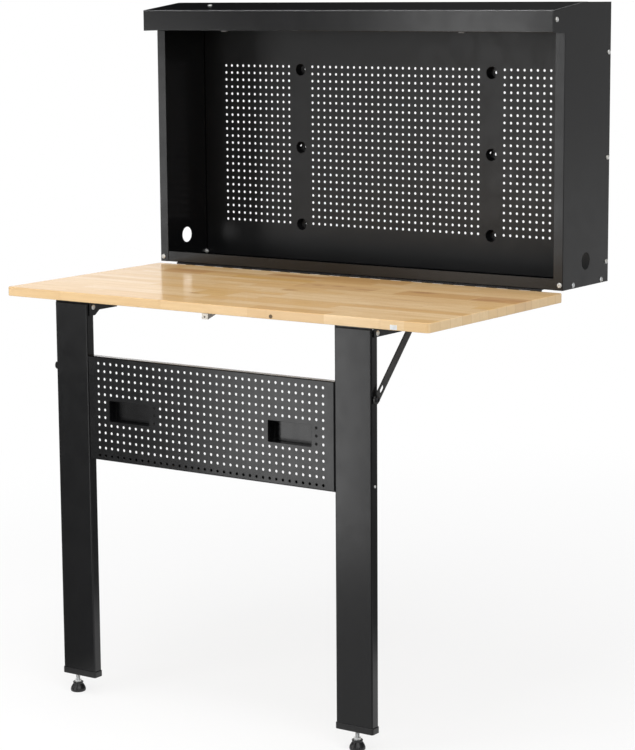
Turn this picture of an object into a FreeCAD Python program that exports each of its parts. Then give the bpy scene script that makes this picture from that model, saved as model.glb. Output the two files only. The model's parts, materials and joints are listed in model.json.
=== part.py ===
import FreeCAD, Part
import math
import os

V = FreeCAD.Vector

# Wall mounted folding workbench.  Millimetres, +Z up, the user stands at -Y.
# The origin is the centre of the wall screw pattern, on the wall plane (Y = 0).

# ---- cabinet ---------------------------------------------------------------
SHEET = 1.2                 # cabinet and panel sheet steel
CABINET_WIDTH = 1200.0
CABINET_DEPTH = 226.5       # wall to the faces of the front flanges
CABINET_BOTTOM = -296.5
FRONT_FLANGE = 25.0         # width of the flange down each side's front edge
SHELF_LIP = 27.0            # height of the lip along the shelf's front
SHELF_END = 16.0            # height of the shelf's upturned ends and back
FIT = 0.2                   # clearance between panels that slip together

HOOD_PROJECTION = 281.5     # wall to the fascia's face
FASCIA_BOTTOM = 305.5
FASCIA_HEIGHT = 51.0
FASCIA_LIP = 16.0           # lip turned back along the fascia's lower edge
FASCIA_END = 26.0           # end flanges that screw to the side panels
SLOPE_END = 133.0           # wall to the line where the slope meets the flat top
SLOPE_RISE = 18.0           # fascia's top to the flat top
TOP_LAP = 15.0              # hood sheet lapped over the flat top panel
TOP_TONGUE = 75.0           # top panel's tongue under the slope
CABLE_HOLE_RADIUS = 20.4
CABLE_HOLE_INSET = 114.0    # wall to the cable hole's centre
CABLE_HOLE_HEIGHT = 60.0    # cabinet bottom to the cable hole's centre

# ---- pegboard and wall rails -----------------------------------------------
HOLE_PITCH = 18.5
HOLE_RADIUS = 3.4
BOARD_DEPTH = 26.4          # wall to the board's face
BOARD_SIDE_COLUMNS = 12
BOARD_MIDDLE_COLUMNS = 28
BOARD_GAP_PITCHES = 4       # blank strip over each wall rail
BOARD_ROWS = 23
BOARD_FIRST_ROW = 209.05    # middle of the wall screws up to the first hole row
BOARD_MARGIN = 10.0         # board's edge to its flat plate
WALL_HOLE_SPAN = 201.3      # between neighbouring wall screws
WALL_HOLE_RADIUS = 4.5
DISH_MOUTH = 15.0           # radius of the dish pressed round each wall screw
DISH_FLOOR = 11.0
DISH_DEPTH = 18.4
RAIL_WIDTH = 20.0
RAIL_END_GAP = 1.5          # rail's ends to the board's flanges

# ---- tabletop and piano hinge ----------------------------------------------
TABLE_WIDTH = 1206.0
TABLE_DEPTH = 595.0
TABLE_THICKNESS = 22.0
TABLE_CORNER = 9.0
TABLE_EDGE = 2.0
HINGE_LENGTH = 1090.0
HINGE_KNUCKLES = 36         # both leaves together
HINGE_BARREL = 2.2
HINGE_PIN = 1.2
HINGE_PLAY = 0.05           # radial play of the pin in the moving knuckles
HINGE_DROP = 2.5            # cabinet bottom down to the pin
HINGE_FORWARD = 1.7         # front flanges forward to the pin
HINGE_TO_TABLE = 2.0        # pin to the tabletop's top and rear faces
HINGE_LEAF = 1.2
HINGE_LEAF_WIDTH = 20.0
HINGE_GAP = 0.4             # between neighbouring knuckles
HINGE_SCREWS = 9            # per leaf

# ---- leg frame -------------------------------------------------------------
LEG_X = 404.0               # leg centre from the middle
LEG_WIDTH = 98.0
LEG_DEPTH = 25.0
LEG_WALL = 1.5
LEG_CORNER = 3.0
LEG_INSET = 3.7             # tabletop's front edge back to the legs' faces
LEG_TOP_DROP = 5.0          # tabletop underside to the legs' tops
LEG_CAP_BOTTOM = -1246.5
LEG_BACK_RELIEF = 22.0      # back wall cut away at the pivot
CAP_HEIGHT = 15.0
CAP_WALL = 2.0
CAP_FLOOR = 3.5
PIVOT_DROP = 13.0           # tabletop underside to the leg pivot
PIVOT_FROM_BACK = 5.5       # leg's back face to the leg pivot
BOLT_RADIUS = 3.0
RUNNING = 0.05              # radial play of a pin in its bore
BOLT_HEAD_RADIUS = 6.0
BOLT_HEAD_HEIGHT = 3.2
NUT_RADIUS = 5.7            # across the corners, halved
NUT_HEIGHT = 5.0

# ---- leg brackets ----------------------------------------------------------
BRACKET_SHEET = 3.0
BRACKET_GAP = 0.3           # ear to the leg's side
BRACKET_FRONT = 7.0         # leg's face back to the bracket's front edge
BRACKET_EAR = 21.5          # ear height below the tabletop
BRACKET_BASE = 102.0        # base plate length along Y
BRACKET_LIP = 12.0          # front lip turned down inside the leg
BRACKET_LIP_PLAY = 1.5      # lip's ends to the leg's inner faces
GUSSET_DROP = 33.0          # inner ear's gusset below the tabletop
GUSSET_RUN = 36.0
STRIP_FOOT = 20.0           # width of the outer strip's foot behind the base

# ---- stays -----------------------------------------------------------------
STAY_WIDTH = 20.0
STAY_SHEET = 3.0
STAY_EYE = 7.5
STAY_PIVOT_DROP = 12.0      # tabletop underside to the stay's pivot
STAY_PIVOT_BACK = 137.5     # leg pivot rearward to the stay's pivot
STAY_STANDOFF = 0.5         # strip's outer face to the stay
STUD_DROP = 146.3           # leg pivot down to the stud
STUD_FORWARD = 7.3          # leg pivot forward to the stud
STUD_SLEEVE = 4.5
STUD_HEAD = 6.5
STUD_HEAD_HEIGHT = 4.0
STAY_TIP = 11.0             # stay's material beyond the stud
NOTCH_PLAY = 0.7            # open hook's play around the stud
STAY_TURN = 133.0           # degrees that the stay swings while the leg folds
LEG_FOLD = 90.0
WINDOW_LENGTH = 19.0
WINDOW_WIDTH = 10.0
WINDOW_FROM_STUD = 29.0

# ---- lower panel and grips -------------------------------------------------
PANEL_HEIGHT = 250.0
PANEL_TOP = -450.5
PANEL_COLUMNS = 36
PANEL_ROWS = 13
PANEL_FIRST_ROW = 16.0      # panel's top edge down to the first hole row
PANEL_FLANGE = 20.0
PANEL_RETURN = 15.0         # lip turned back along the top and bottom flanges
PANEL_BEND = 2.0
PANEL_END_GAP = 0.1
GRIP_X = 232.0
GRIP_DROP = 128.5           # panel's top edge down to the grip's centre
GRIP_WIDTH = 120.0
GRIP_HEIGHT = 50.0
GRIP_DEPTH = 25.0
GRIP_CORNER = 2.0
GRIP_RIM = 5.0
GRIP_SHEET = 1.2

# ---- levelling feet --------------------------------------------------------
FLOOR_Z = -1291.5
STUD_RADIUS = 5.0
GLIDE_RADIUS = 18.5
GLIDE_HEIGHT = 28.0
GLIDE_COLLAR = 12.0
FOOT_NUT_RADIUS = 9.2
FOOT_NUT_HEIGHT = 7.0
FOOT_STUD_LENGTH = 72.0
FOOT_SHIFT_LEFT = -16.0     # the left foot stands outboard of its leg's centre

# ---- small fittings --------------------------------------------------------
CATCH_X = 349.0             # spring catches under the fascia's lip
CATCH_SIZE = (15.0, 8.0, 2.5)
CATCH_INSET = 7.0           # fascia's face back to the catch
HASP_WIDTH = 17.6           # zinc bracket under the tabletop's front edge
HASP_LENGTH = 43.0
HASP_DROP = 13.5
HASP_SHEET = 2.0
HASP_HOLE = 2.2
STRIKE_X = 512.8            # plate let in to the tabletop's front edge
STRIKE_SIZE = (18.0, 10.7, 1.0)
BUFFER_X = 185.7            # rubber buffer in the tabletop's front edge
BUFFER_RADIUS = 4.5
FITTING_DROP = 15.3         # tabletop's top down to both
SCREW_HEAD = 4.0            # small screw's head radius
SCREW_SHANK = 2.0
SIDE_SCREW_REACH = 11.0     # shank of the screws through the side panels
SHELF_SCREWS = (176.0, 35.0)        # wall to the side screws in the shelf's ends
REAR_SCREW_INSET = 10.0     # wall to the upright row of side screws
REAR_SCREWS = (254.5, 3.8, -247.7)  # their heights
HOOD_SCREW_INSET = 14.0     # fascia's face back to the screw in its end flange
HOOD_SCREW_RISE = 29.5      # fascia's bottom up to that screw
FLANGE_SCREW_INSET = 8.6    # side panel's face in to the shelf corner's screw
FLANGE_SCREW_RISE = 12.5
FLANGE_SCREW_HEAD = 2.4
FLANGE_SCREW_REACH = 8.0
TOP_SCREW = (-451.5, 194.0)         # the slope's screw: X, and its distance from the wall
TOP_SCREW_HEAD = 2.6
LOW_HEAD = 1.8              # head height of the hinge's screws
WOOD_HEAD = 2.2             # head height of the screws under the tabletop
PANEL_SCREW_BACK = 12.5     # leg's face back to the panel's screws
PANEL_SCREW_TOP = 35.0      # panel's top edge down to the upper screw
PANEL_SCREW_BOTTOM = 22.2   # panel's bottom edge up to the lower screw
LEG_SCREW_HEAD = 3.2        # head radius of the lower screw on the leg's outer side

# ---- derived places --------------------------------------------------------
HALF = CABINET_WIDTH / 2
INNER = HALF - SHEET                       # side panel's inner face
SHELF_TOP = CABINET_BOTTOM + SHEET
FASCIA_TOP = FASCIA_BOTTOM + FASCIA_HEIGHT
FLAT_TOP = FASCIA_TOP + SLOPE_RISE         # upper face of the hood's lap
SIDE_TOP = FLAT_TOP - SHEET                # upper face of the flat top panel
SLOPE = SLOPE_RISE / (HOOD_PROJECTION - SLOPE_END)
SLOPE_THICK = SHEET * math.hypot(1.0, SLOPE)   # hood sheet measured upright
SLOPE_INNER = -SLOPE_END + (SLOPE_THICK - SHEET) / SLOPE   # Y of the fold on the sheet's underside

BOARD_TOP = SIDE_TOP - SHEET - FIT / 2
BOARD_BOTTOM = SHELF_TOP + FIT / 2
BOARD_GAP_CENTRE = (BOARD_MIDDLE_COLUMNS - 1 + BOARD_GAP_PITCHES) * HOLE_PITCH / 2
WALL_HOLES = [(x, z) for x in (-BOARD_GAP_CENTRE, BOARD_GAP_CENTRE)
              for z in (-WALL_HOLE_SPAN, 0.0, WALL_HOLE_SPAN)]
DISH_BACK = -BOARD_DEPTH + DISH_DEPTH + SHEET   # back of each dish's floor, where the rail seats

PIN_Y = -CABINET_DEPTH - HINGE_FORWARD
PIN_Z = CABINET_BOTTOM - HINGE_DROP
TABLE_TOP = PIN_Z - HINGE_TO_TABLE
TABLE_REAR = PIN_Y - HINGE_TO_TABLE
TABLE_FRONT = TABLE_REAR - TABLE_DEPTH
TABLE_UNDER = TABLE_TOP - TABLE_THICKNESS

LEG_FACE = TABLE_FRONT + LEG_INSET
LEG_BACK = LEG_FACE + LEG_DEPTH
LEG_CENTRE_Y = (LEG_FACE + LEG_BACK) / 2
LEG_TOP = TABLE_UNDER - LEG_TOP_DROP
LEG_BOTTOM = LEG_CAP_BOTTOM + CAP_FLOOR
LEG_OUTER = LEG_X + LEG_WIDTH / 2
LEG_INNER = LEG_X - LEG_WIDTH / 2
PIVOT = V(0, LEG_BACK - PIVOT_FROM_BACK, TABLE_UNDER - PIVOT_DROP)
EAR_OUT = LEG_OUTER + BRACKET_GAP          # outer ear's inner face
EAR_IN = LEG_INNER - BRACKET_GAP           # inner ear's outer face
STAY_PIVOT = V(0, PIVOT.y + STAY_PIVOT_BACK, TABLE_UNDER - STAY_PIVOT_DROP)
STUD = V(0, PIVOT.y - STUD_FORWARD, PIVOT.z - STUD_DROP)
STAY_IN = EAR_OUT + BRACKET_SHEET + STAY_STANDOFF
STAY_OUT = STAY_IN + STAY_SHEET

PANEL_BOTTOM = PANEL_TOP - PANEL_HEIGHT
PANEL_HALF = LEG_INNER - PANEL_END_GAP
GRIP_Z = PANEL_TOP - GRIP_DROP
FITTING_Z = TABLE_TOP - FITTING_DROP


# ---- helpers ---------------------------------------------------------------
def box(x0, x1, y0, y1, z0, z1):
    """Solid box between two corners."""
    return Part.makeBox(x1 - x0, y1 - y0, z1 - z0, V(x0, y0, z0))


def rod(radius, start, direction, length):
    """Solid cylinder from a point along a direction."""
    return Part.makeCylinder(radius, length, start, direction)


def fuse(shapes):
    """One solid from touching shapes, with coplanar faces joined."""
    return shapes[0].multiFuse(shapes[1:]).removeSplitter()


def prism_x(points, x0, x1):
    """Polygon of (y, z) points carried from x0 to x1."""
    corners = [V(x0, y, z) for y, z in points]
    return Part.Face(Part.makePolygon(corners + corners[:1])).extrude(V(x1 - x0, 0, 0))


def rounded_rectangle(width, height, radius):
    """Closed wire in the XY plane, centred on the origin."""
    u, v = width / 2 - radius, height / 2 - radius
    edges = []
    for quarter, (cx, cy) in enumerate(((u, v), (-u, v), (-u, -v), (u, -v))):
        first = quarter * math.pi / 2
        ends = [V(cx + radius * math.cos(first + turn), cy + radius * math.sin(first + turn), 0)
                for turn in (0, math.pi / 4, math.pi / 2)]
        edges.append(Part.Arc(*ends).toShape())
    sides = [Part.makeLine(edges[i].Vertexes[-1].Point, edges[(i + 1) % 4].Vertexes[0].Point)
             for i in range(4)]
    return Part.Wire([edge for pair in zip(edges, sides) for edge in pair])


def rounded_bar(width, depth, radius, x, y, z0, z1):
    """Upright bar of rounded rectangular section."""
    wire = rounded_rectangle(width, depth, radius)
    wire.translate(V(x, y, z0))
    return Part.Face(wire).extrude(V(0, 0, z1 - z0))


def facing(wire, x, y, z):
    """Turn a wire from the XY plane to the XZ plane and place it."""
    wire.rotate(V(0, 0, 0), V(1, 0, 0), 90)
    wire.translate(V(x, y, z))
    return wire


def ring_wire(x, y, z, radius):
    """Circle in the XZ plane."""
    return Part.Wire(Part.Circle(V(x, y, z), V(0, 1, 0), radius).toShape())


def bent_sheet(points, thickness, radius, x0, x1):
    """Sheet folded along a (y, z) path, its body to the left of the path."""
    def side_path(offset):
        corners = []
        for i, (y, z) in enumerate(points):
            before = points[max(i - 1, 0)]
            after = points[min(i + 1, len(points) - 1)]
            heading_in = math.atan2(z - before[1], y - before[0]) if i else None
            heading_out = math.atan2(after[1] - z, after[0] - y) if i < len(points) - 1 else None
            first = heading_out if heading_in is None else heading_in
            last = heading_in if heading_out is None else heading_out
            half = (last - first + math.pi) % (2 * math.pi) - math.pi
            reach = offset / math.cos(half / 2)
            normal = first + half / 2 + math.pi / 2
            corners.append((y + reach * math.cos(normal), z + reach * math.sin(normal), half, first))
        return corners

    def wire_edges(corners, offset):
        edges, pen = [], V(x0, corners[0][0], corners[0][1])
        for y, z, turn, first in corners[1:-1]:
            bend = radius + (thickness - offset if turn > 0 else offset)
            back = bend * math.tan(abs(turn) / 2)
            start = V(x0, y - back * math.cos(first), z - back * math.sin(first))
            last = first + turn
            end = V(x0, y + back * math.cos(last), z + back * math.sin(last))
            depth = bend * (1 / math.cos(turn / 2) - 1)
            towards = first + turn / 2 + math.copysign(math.pi / 2, turn)
            middle = V(x0, y + depth * math.cos(towards), z + depth * math.sin(towards))
            edges += [Part.makeLine(pen, start), Part.Arc(start, middle, end).toShape()]
            pen = end
        edges.append(Part.makeLine(pen, V(x0, corners[-1][0], corners[-1][1])))
        return edges

    near, far = side_path(0.0), side_path(thickness)
    edges = wire_edges(near, 0.0) + wire_edges(far, thickness)
    for a, b in ((near[0], far[0]), (near[-1], far[-1])):
        edges.append(Part.makeLine(V(x0, a[0], a[1]), V(x0, b[0], b[1])))
    wire = Part.Wire(Part.__sortEdges__(edges))
    return Part.Face(wire).extrude(V(x1 - x0, 0, 0))


def revolved(profile, centre, direction):
    """Solid of revolution from (radius, height) points about an axis through a centre."""
    corners = [V(r, 0, h) for r, h in profile]
    face = Part.Face(Part.makePolygon(corners + corners[:1]))
    solid = face.revolve(V(0, 0, 0), V(0, 0, 1), 360)
    solid.Placement = FreeCAD.Placement(centre, FreeCAD.Rotation(V(0, 0, 1), direction))
    return solid


def screw(centre, direction, head_radius, head_height, shank_radius, shank_length):
    """Pan head screw: the head rises along the direction, the shank goes the other way."""
    crown = head_radius * 0.62
    profile = [(0, -shank_length), (shank_radius, -shank_length), (shank_radius, 0),
               (head_radius, 0), (head_radius, head_height * 0.45),
               (head_radius * 0.9, head_height * 0.8), (crown, head_height), (0, head_height)]
    return revolved(profile, centre, direction)


def hexagon(radius, start, direction, height, bore):
    """Hexagonal nut with a plain bore."""
    corners = [V(radius * math.cos(k * math.pi / 3), radius * math.sin(k * math.pi / 3), 0)
               for k in range(6)]
    nut = Part.Face(Part.makePolygon(corners + corners[:1])).extrude(V(0, 0, height))
    nut = nut.cut(Part.makeCylinder(bore, height))
    nut.Placement = FreeCAD.Placement(start, FreeCAD.Rotation(V(0, 0, 1), direction))
    return nut


def mirrored(shape):
    """The same piece for the other side."""
    return shape.mirror(V(0, 0, 0), V(1, 0, 0))


def write(name, shape):
    """Write one node to parts/NAME.step."""
    if not shape.isValid():
        raise RuntimeError(name + " is not a valid shape")
    shape.exportStep("parts/" + name + ".step")
    print(name, len(shape.Solids), "solids", round(shape.Volume / 1000.0, 2), "cm3")


def write_pair(name, right_shape):
    """Write a right hand piece and its mirror image."""
    write(name + "_right", right_shape)
    write(name + "_left", mirrored(right_shape))


# ---- perforated sheets -----------------------------------------------------
def perforated_plate(x0, x1, z0, z1, y, holes, windows=()):
    """Flat plate in the XZ plane, one sheet thick behind y, with its holes and windows."""
    outline = Part.makePolygon([V(x0, y, z0), V(x1, y, z0), V(x1, y, z1), V(x0, y, z1), V(x0, y, z0)])
    wires = [outline] + [ring_wire(x, y, z, r) for x, z, r in holes] + list(windows)
    return Part.makeFace(wires, "Part::FaceMakerCheese").extrude(V(0, SHEET, 0))


def tray(x0, x1, z0, z1, face_y, back_y, bend, plate, plate_box):
    """Sheet tray open to the back: a plate set into a rim with rounded edges."""
    shell = box(x0, x1, face_y, back_y, z0, z1)
    front = [edge for edge in shell.Edges
             if all(abs(vertex.Y - face_y) < 1e-6 for vertex in edge.Vertexes)]
    shell = shell.makeFillet(bend + SHEET, front)
    inside = box(x0 + SHEET, x1 - SHEET, face_y + SHEET, back_y + bend * 2, z0 + SHEET, z1 - SHEET)
    inner_front = [edge for edge in inside.Edges
                   if all(abs(vertex.Y - face_y - SHEET) < 1e-6 for vertex in edge.Vertexes)]
    shell = shell.cut(inside.makeFillet(bend, inner_front))
    px0, px1, pz0, pz1 = plate_box
    shell = shell.cut(box(px0, px1, face_y - bend, face_y + SHEET * 1.01, pz0, pz1))
    return fuse([shell, plate])


def column_places():
    """X of every hole column of the board: side, middle and side blocks."""
    span = 2 * BOARD_SIDE_COLUMNS + BOARD_MIDDLE_COLUMNS + 2 * (BOARD_GAP_PITCHES - 1)
    blank = range(BOARD_SIDE_COLUMNS, BOARD_SIDE_COLUMNS + BOARD_GAP_PITCHES - 1)
    return [(k - (span - 1) / 2) * HOLE_PITCH for k in range(span)
            if k not in blank and (span - 1 - k) not in blank]


def dish(x, z):
    """Dish pressed into the board round a wall screw, with the screw's hole in its floor."""
    rim = DISH_MOUTH + SHEET
    profile = [(DISH_MOUTH, 0), (DISH_FLOOR, DISH_DEPTH), (WALL_HOLE_RADIUS, DISH_DEPTH),
               (WALL_HOLE_RADIUS, DISH_DEPTH + SHEET), (DISH_FLOOR + SHEET, DISH_DEPTH + SHEET),
               (rim, SHEET), (rim, 0)]
    return revolved(profile, V(x, -BOARD_DEPTH, z), V(0, 1, 0))


def pegboard():
    """Back panel: a tray with the hole grid and a dish round each wall screw."""
    edge = INNER - FIT
    holes = [(x, BOARD_FIRST_ROW - row * HOLE_PITCH, HOLE_RADIUS)
             for x in column_places() for row in range(BOARD_ROWS)]
    holes += [(x, z, DISH_MOUTH + SHEET) for x, z in WALL_HOLES]
    area = (-edge + BOARD_MARGIN, edge - BOARD_MARGIN, BOARD_BOTTOM + BOARD_MARGIN, BOARD_TOP - BOARD_MARGIN)
    plate = perforated_plate(area[0], area[1], area[2], area[3], -BOARD_DEPTH, holes)
    board = tray(-edge, edge, BOARD_BOTTOM, BOARD_TOP, -BOARD_DEPTH, 0.0, SHEET, plate, area)
    board = fuse([board] + [dish(x, z) for x, z in WALL_HOLES])
    drills = [rod(BOLT_RADIUS, V(-edge, y, z), V(1, 0, 0), 2 * edge)
              for y, z in side_screw_places() if y > -BOARD_DEPTH]
    return board.cut(Part.makeCompound(drills))


def grip_window(x):
    """Rounded rectangular window for one grip."""
    return facing(rounded_rectangle(GRIP_WIDTH, GRIP_HEIGHT, GRIP_CORNER), x, LEG_FACE, GRIP_Z)


def lower_panel():
    """Perforated panel between the legs, with a window for each grip."""
    def clear_of_grips(x, z):
        return all(abs(x - side * GRIP_X) > GRIP_WIDTH / 2 + HOLE_RADIUS
                   or abs(z - GRIP_Z) > GRIP_HEIGHT / 2 + HOLE_RADIUS for side in (-1, 1))

    holes = []
    for column in range(PANEL_COLUMNS):
        x = (column - (PANEL_COLUMNS - 1) / 2) * HOLE_PITCH
        for row in range(PANEL_ROWS):
            z = PANEL_TOP - PANEL_FIRST_ROW - row * HOLE_PITCH
            if clear_of_grips(x, z):
                holes.append((x, z, HOLE_RADIUS))
    margin = PANEL_BEND + 2 * SHEET
    area = (-PANEL_HALF + margin, PANEL_HALF - margin, PANEL_BOTTOM + margin, PANEL_TOP - margin)
    plate = perforated_plate(area[0], area[1], area[2], area[3], LEG_FACE, holes,
                             [grip_window(-GRIP_X), grip_window(GRIP_X)])
    panel = tray(-PANEL_HALF, PANEL_HALF, PANEL_BOTTOM, PANEL_TOP,
                 LEG_FACE, LEG_FACE + PANEL_FLANGE, PANEL_BEND, plate, area)
    back = LEG_FACE + PANEL_FLANGE
    panel = fuse([panel] + [box(-PANEL_HALF + SHEET, PANEL_HALF - SHEET, back - SHEET, back, z0, z0 + PANEL_RETURN)
                            for z0 in (PANEL_BOTTOM, PANEL_TOP - PANEL_RETURN)])
    drills = [rod(SCREW_SHANK, V(-PANEL_HALF, y, z), V(1, 0, 0), 2 * PANEL_HALF)
              for y, z in panel_screw_places()]
    return panel.cut(Part.makeCompound(drills))


def grip_cup():
    """Right hand grip: a cup behind the panel with a rim against the panel's back."""
    front = LEG_FACE + SHEET
    rim = box(GRIP_X - GRIP_WIDTH / 2 - GRIP_RIM, GRIP_X + GRIP_WIDTH / 2 + GRIP_RIM,
              front, front + GRIP_SHEET, GRIP_Z - GRIP_HEIGHT / 2 - GRIP_RIM,
              GRIP_Z + GRIP_HEIGHT / 2 + GRIP_RIM)
    hollow = facing(rounded_rectangle(GRIP_WIDTH, GRIP_HEIGHT, GRIP_CORNER), GRIP_X, front, GRIP_Z)
    outside = facing(rounded_rectangle(GRIP_WIDTH + 2 * GRIP_SHEET, GRIP_HEIGHT + 2 * GRIP_SHEET,
                                       GRIP_CORNER + GRIP_SHEET), GRIP_X, front, GRIP_Z)
    back = GRIP_DEPTH - SHEET
    cup = fuse([rim, Part.Face(outside).extrude(V(0, back + GRIP_SHEET, 0))])
    return cup.cut(Part.Face(hollow).extrude(V(0, back, 0)))


# ---- cabinet pieces --------------------------------------------------------
def slope_under(y):
    """Underside of the hood's sloping sheet at a distance y from the wall (y < 0)."""
    return FASCIA_TOP + SLOPE * (y + HOOD_PROJECTION) - SLOPE_THICK


def side_panel():
    """Right hand side: a plate with its front flange and the forward step that carries the hood."""
    outline = [(0, CABINET_BOTTOM), (-CABINET_DEPTH, CABINET_BOTTOM),
               (-CABINET_DEPTH, FASCIA_BOTTOM - SHEET), (-HOOD_PROJECTION, FASCIA_BOTTOM - SHEET),
               (-HOOD_PROJECTION, slope_under(-HOOD_PROJECTION)),
               (SLOPE_INNER, SIDE_TOP), (0, SIDE_TOP)]
    plate = prism_x(outline, INNER, HALF)
    flange = box(HALF - FRONT_FLANGE, INNER, -CABINET_DEPTH, -CABINET_DEPTH + SHEET,
                 CABINET_BOTTOM, FASCIA_BOTTOM - SHEET)
    panel = fuse([plate, flange])
    corner = [edge for edge in panel.Edges if edge.Length > FASCIA_BOTTOM - CABINET_BOTTOM - 5
              and abs(edge.CenterOfMass.x - HALF) < 1e-6
              and abs(edge.CenterOfMass.y + CABINET_DEPTH) < 1e-6]
    panel = panel.makeFillet(SHEET * 0.95, corner)
    panel = panel.cut(rod(CABLE_HOLE_RADIUS, V(INNER - 1, -CABLE_HOLE_INSET,
                                               CABINET_BOTTOM + CABLE_HOLE_HEIGHT), V(1, 0, 0), SHEET + 2))
    for y, z in side_screw_places():
        panel = panel.cut(rod(BOLT_RADIUS, V(INNER - 1, y, z), V(1, 0, 0), SHEET + 2))
    x, z = flange_screw_place()
    return panel.cut(rod(BOLT_RADIUS, V(x, -CABINET_DEPTH - 1, z), V(0, 1, 0), SHEET + 2))


def shelf():
    """Cabinet bottom: folded front lip and back, with upturned ends."""
    back = -SHEET / 2
    front = -CABINET_DEPTH + SHEET
    edge = INNER - FIT
    path = [(front, CABINET_BOTTOM + SHELF_LIP), (front, CABINET_BOTTOM), (back - BOARD_DEPTH, CABINET_BOTTOM)]
    floor = bent_sheet(path, SHEET, SHEET / 2, -edge, edge)
    rear = box(-edge, edge, back - BOARD_DEPTH, 0.0, CABINET_BOTTOM, SHELF_TOP)
    ends = [box(side * edge - (SHEET if side > 0 else 0), side * edge + (0 if side > 0 else SHEET),
                front + 2 * SHEET, -BOARD_DEPTH - FIT, CABINET_BOTTOM, CABINET_BOTTOM + SHELF_END)
            for side in (-1, 1)]
    panel = fuse([floor, rear] + ends)
    for side in (-1, 1):
        for y, z in side_screw_places()[:2]:
            panel = panel.cut(rod(BOLT_RADIUS, V(side * edge - 3, y, z), V(1, 0, 0), 6))
        x, z = flange_screw_place()
        panel = panel.cut(rod(BOLT_RADIUS, V(side * x, front - 1, z), V(0, 1, 0), SHEET + 2))
    return panel


def hood():
    """Hood: the fascia with its lip, the slope and the lap on the flat top."""
    face = -HOOD_PROJECTION
    path = [(face + FASCIA_LIP, FASCIA_BOTTOM), (face, FASCIA_BOTTOM), (face, FASCIA_TOP),
            (-SLOPE_END, FLAT_TOP), (-SLOPE_END + TOP_LAP, FLAT_TOP)]
    sheet = bent_sheet(path[::-1], SHEET, SHEET / 2, -HALF, HALF)
    for side in (-1, 1):
        x0, x1 = sorted((side * (INNER - FIT), side * (HALF + 1)))
        sheet = sheet.cut(box(x0, x1, face - 1, face + FASCIA_LIP + 1, FASCIA_BOTTOM - 1,
                              slope_under(face)))
    ends = []
    for side in (-1, 1):
        x0, x1 = sorted((side * (INNER - FIT), side * (INNER - FIT - SHEET)))
        ends.append(box(x0, x1, face + SHEET, face + FASCIA_END, FASCIA_BOTTOM + SHEET,
                        slope_under(face) - SHEET))
    sheet = fuse([sheet] + ends)
    y, z = side_screw_places()[-1]
    drills = [rod(BOLT_RADIUS, V(-HALF, y, z), V(1, 0, 0), CABINET_WIDTH)]
    drills += [rod(SCREW_SHANK, V(x, y, z) - slope_normal() * 5, slope_normal(), 10)
               for x, y, z in top_screw_places()]
    return sheet.cut(Part.makeCompound(drills))


def top_panel():
    """Flat top between the sides, with a tongue under the slope."""
    tongue = -SLOPE_END - TOP_TONGUE
    edge = INNER - FIT
    path = [(0, SIDE_TOP), (SLOPE_INNER, SIDE_TOP), (tongue, slope_under(tongue))]
    sheet = bent_sheet(path, SHEET, SHEET / 2, -edge, edge)
    drills = [rod(SCREW_SHANK, V(x, y, z) - slope_normal() * 5, slope_normal(), 10)
              for x, y, z in top_screw_places()]
    return sheet.cut(Part.makeCompound(drills))


def wall_rail():
    """Right hand flat bar between the dishes' floors and the wall."""
    z0 = BOARD_BOTTOM + SHEET + RAIL_END_GAP
    z1 = BOARD_TOP - SHEET - RAIL_END_GAP
    bar = box(BOARD_GAP_CENTRE - RAIL_WIDTH / 2, BOARD_GAP_CENTRE + RAIL_WIDTH / 2, DISH_BACK, 0, z0, z1)
    drills = [rod(WALL_HOLE_RADIUS, V(x, -BOARD_DEPTH, z), V(0, 1, 0), BOARD_DEPTH + 1) for x, z in WALL_HOLES]
    return bar.cut(Part.makeCompound(drills))


# ---- fastener places -------------------------------------------------------
def side_screw_places():
    """(y, z) of the screws through each side panel; the last one holds the hood."""
    low = CABINET_BOTTOM + SHELF_END / 2
    return ([(-inset, low) for inset in SHELF_SCREWS] + [(-REAR_SCREW_INSET, z) for z in REAR_SCREWS]
            + [(-HOOD_PROJECTION + HOOD_SCREW_INSET, FASCIA_BOTTOM + HOOD_SCREW_RISE)])


def flange_screw_place():
    """(x, z) of the screw that joins the right side's flange to the shelf's lip."""
    return HALF - FLANGE_SCREW_INSET, CABINET_BOTTOM + FLANGE_SCREW_RISE


def top_screw_places():
    """The screw through the slope into the tongue beneath it, on the left."""
    x, y = TOP_SCREW[0], -TOP_SCREW[1]
    return [(x, y, FASCIA_TOP + SLOPE * (y + HOOD_PROJECTION))]


def slope_normal():
    """Unit vector square to the hood's slope, pointing out."""
    return V(0, -SLOPE, 1).normalize()


def panel_screw_places():
    """(y, z) of the screws that join the lower panel's ends to the legs."""
    y = LEG_FACE + PANEL_SCREW_BACK
    return [(y, PANEL_TOP - PANEL_SCREW_TOP), (y, PANEL_BOTTOM + PANEL_SCREW_BOTTOM)]


def side_screws():
    """All pan head screws of one side panel, with their nuts inside."""
    pieces = []
    for y, z in side_screw_places():
        pieces.append(screw(V(HALF, y, z), V(1, 0, 0), BOLT_HEAD_RADIUS, BOLT_HEAD_HEIGHT, BOLT_RADIUS,
                            SIDE_SCREW_REACH))
    return Part.makeCompound(pieces)


def side_nuts():
    """The nuts of one side panel's screws."""
    behind = INNER - FIT - SHEET - NUT_HEIGHT
    return Part.makeCompound([hexagon(NUT_RADIUS, V(behind, y, z), V(1, 0, 0), NUT_HEIGHT, BOLT_RADIUS)
                              for y, z in side_screw_places()])


def flange_screws():
    """One screw at each front corner of the shelf, low headed so the table closes over it."""
    x, z = flange_screw_place()
    return Part.makeCompound([screw(V(side * x, -CABINET_DEPTH, z), V(0, -1, 0), BOLT_HEAD_RADIUS,
                                    FLANGE_SCREW_HEAD, BOLT_RADIUS, FLANGE_SCREW_REACH) for side in (-1, 1)])


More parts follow.
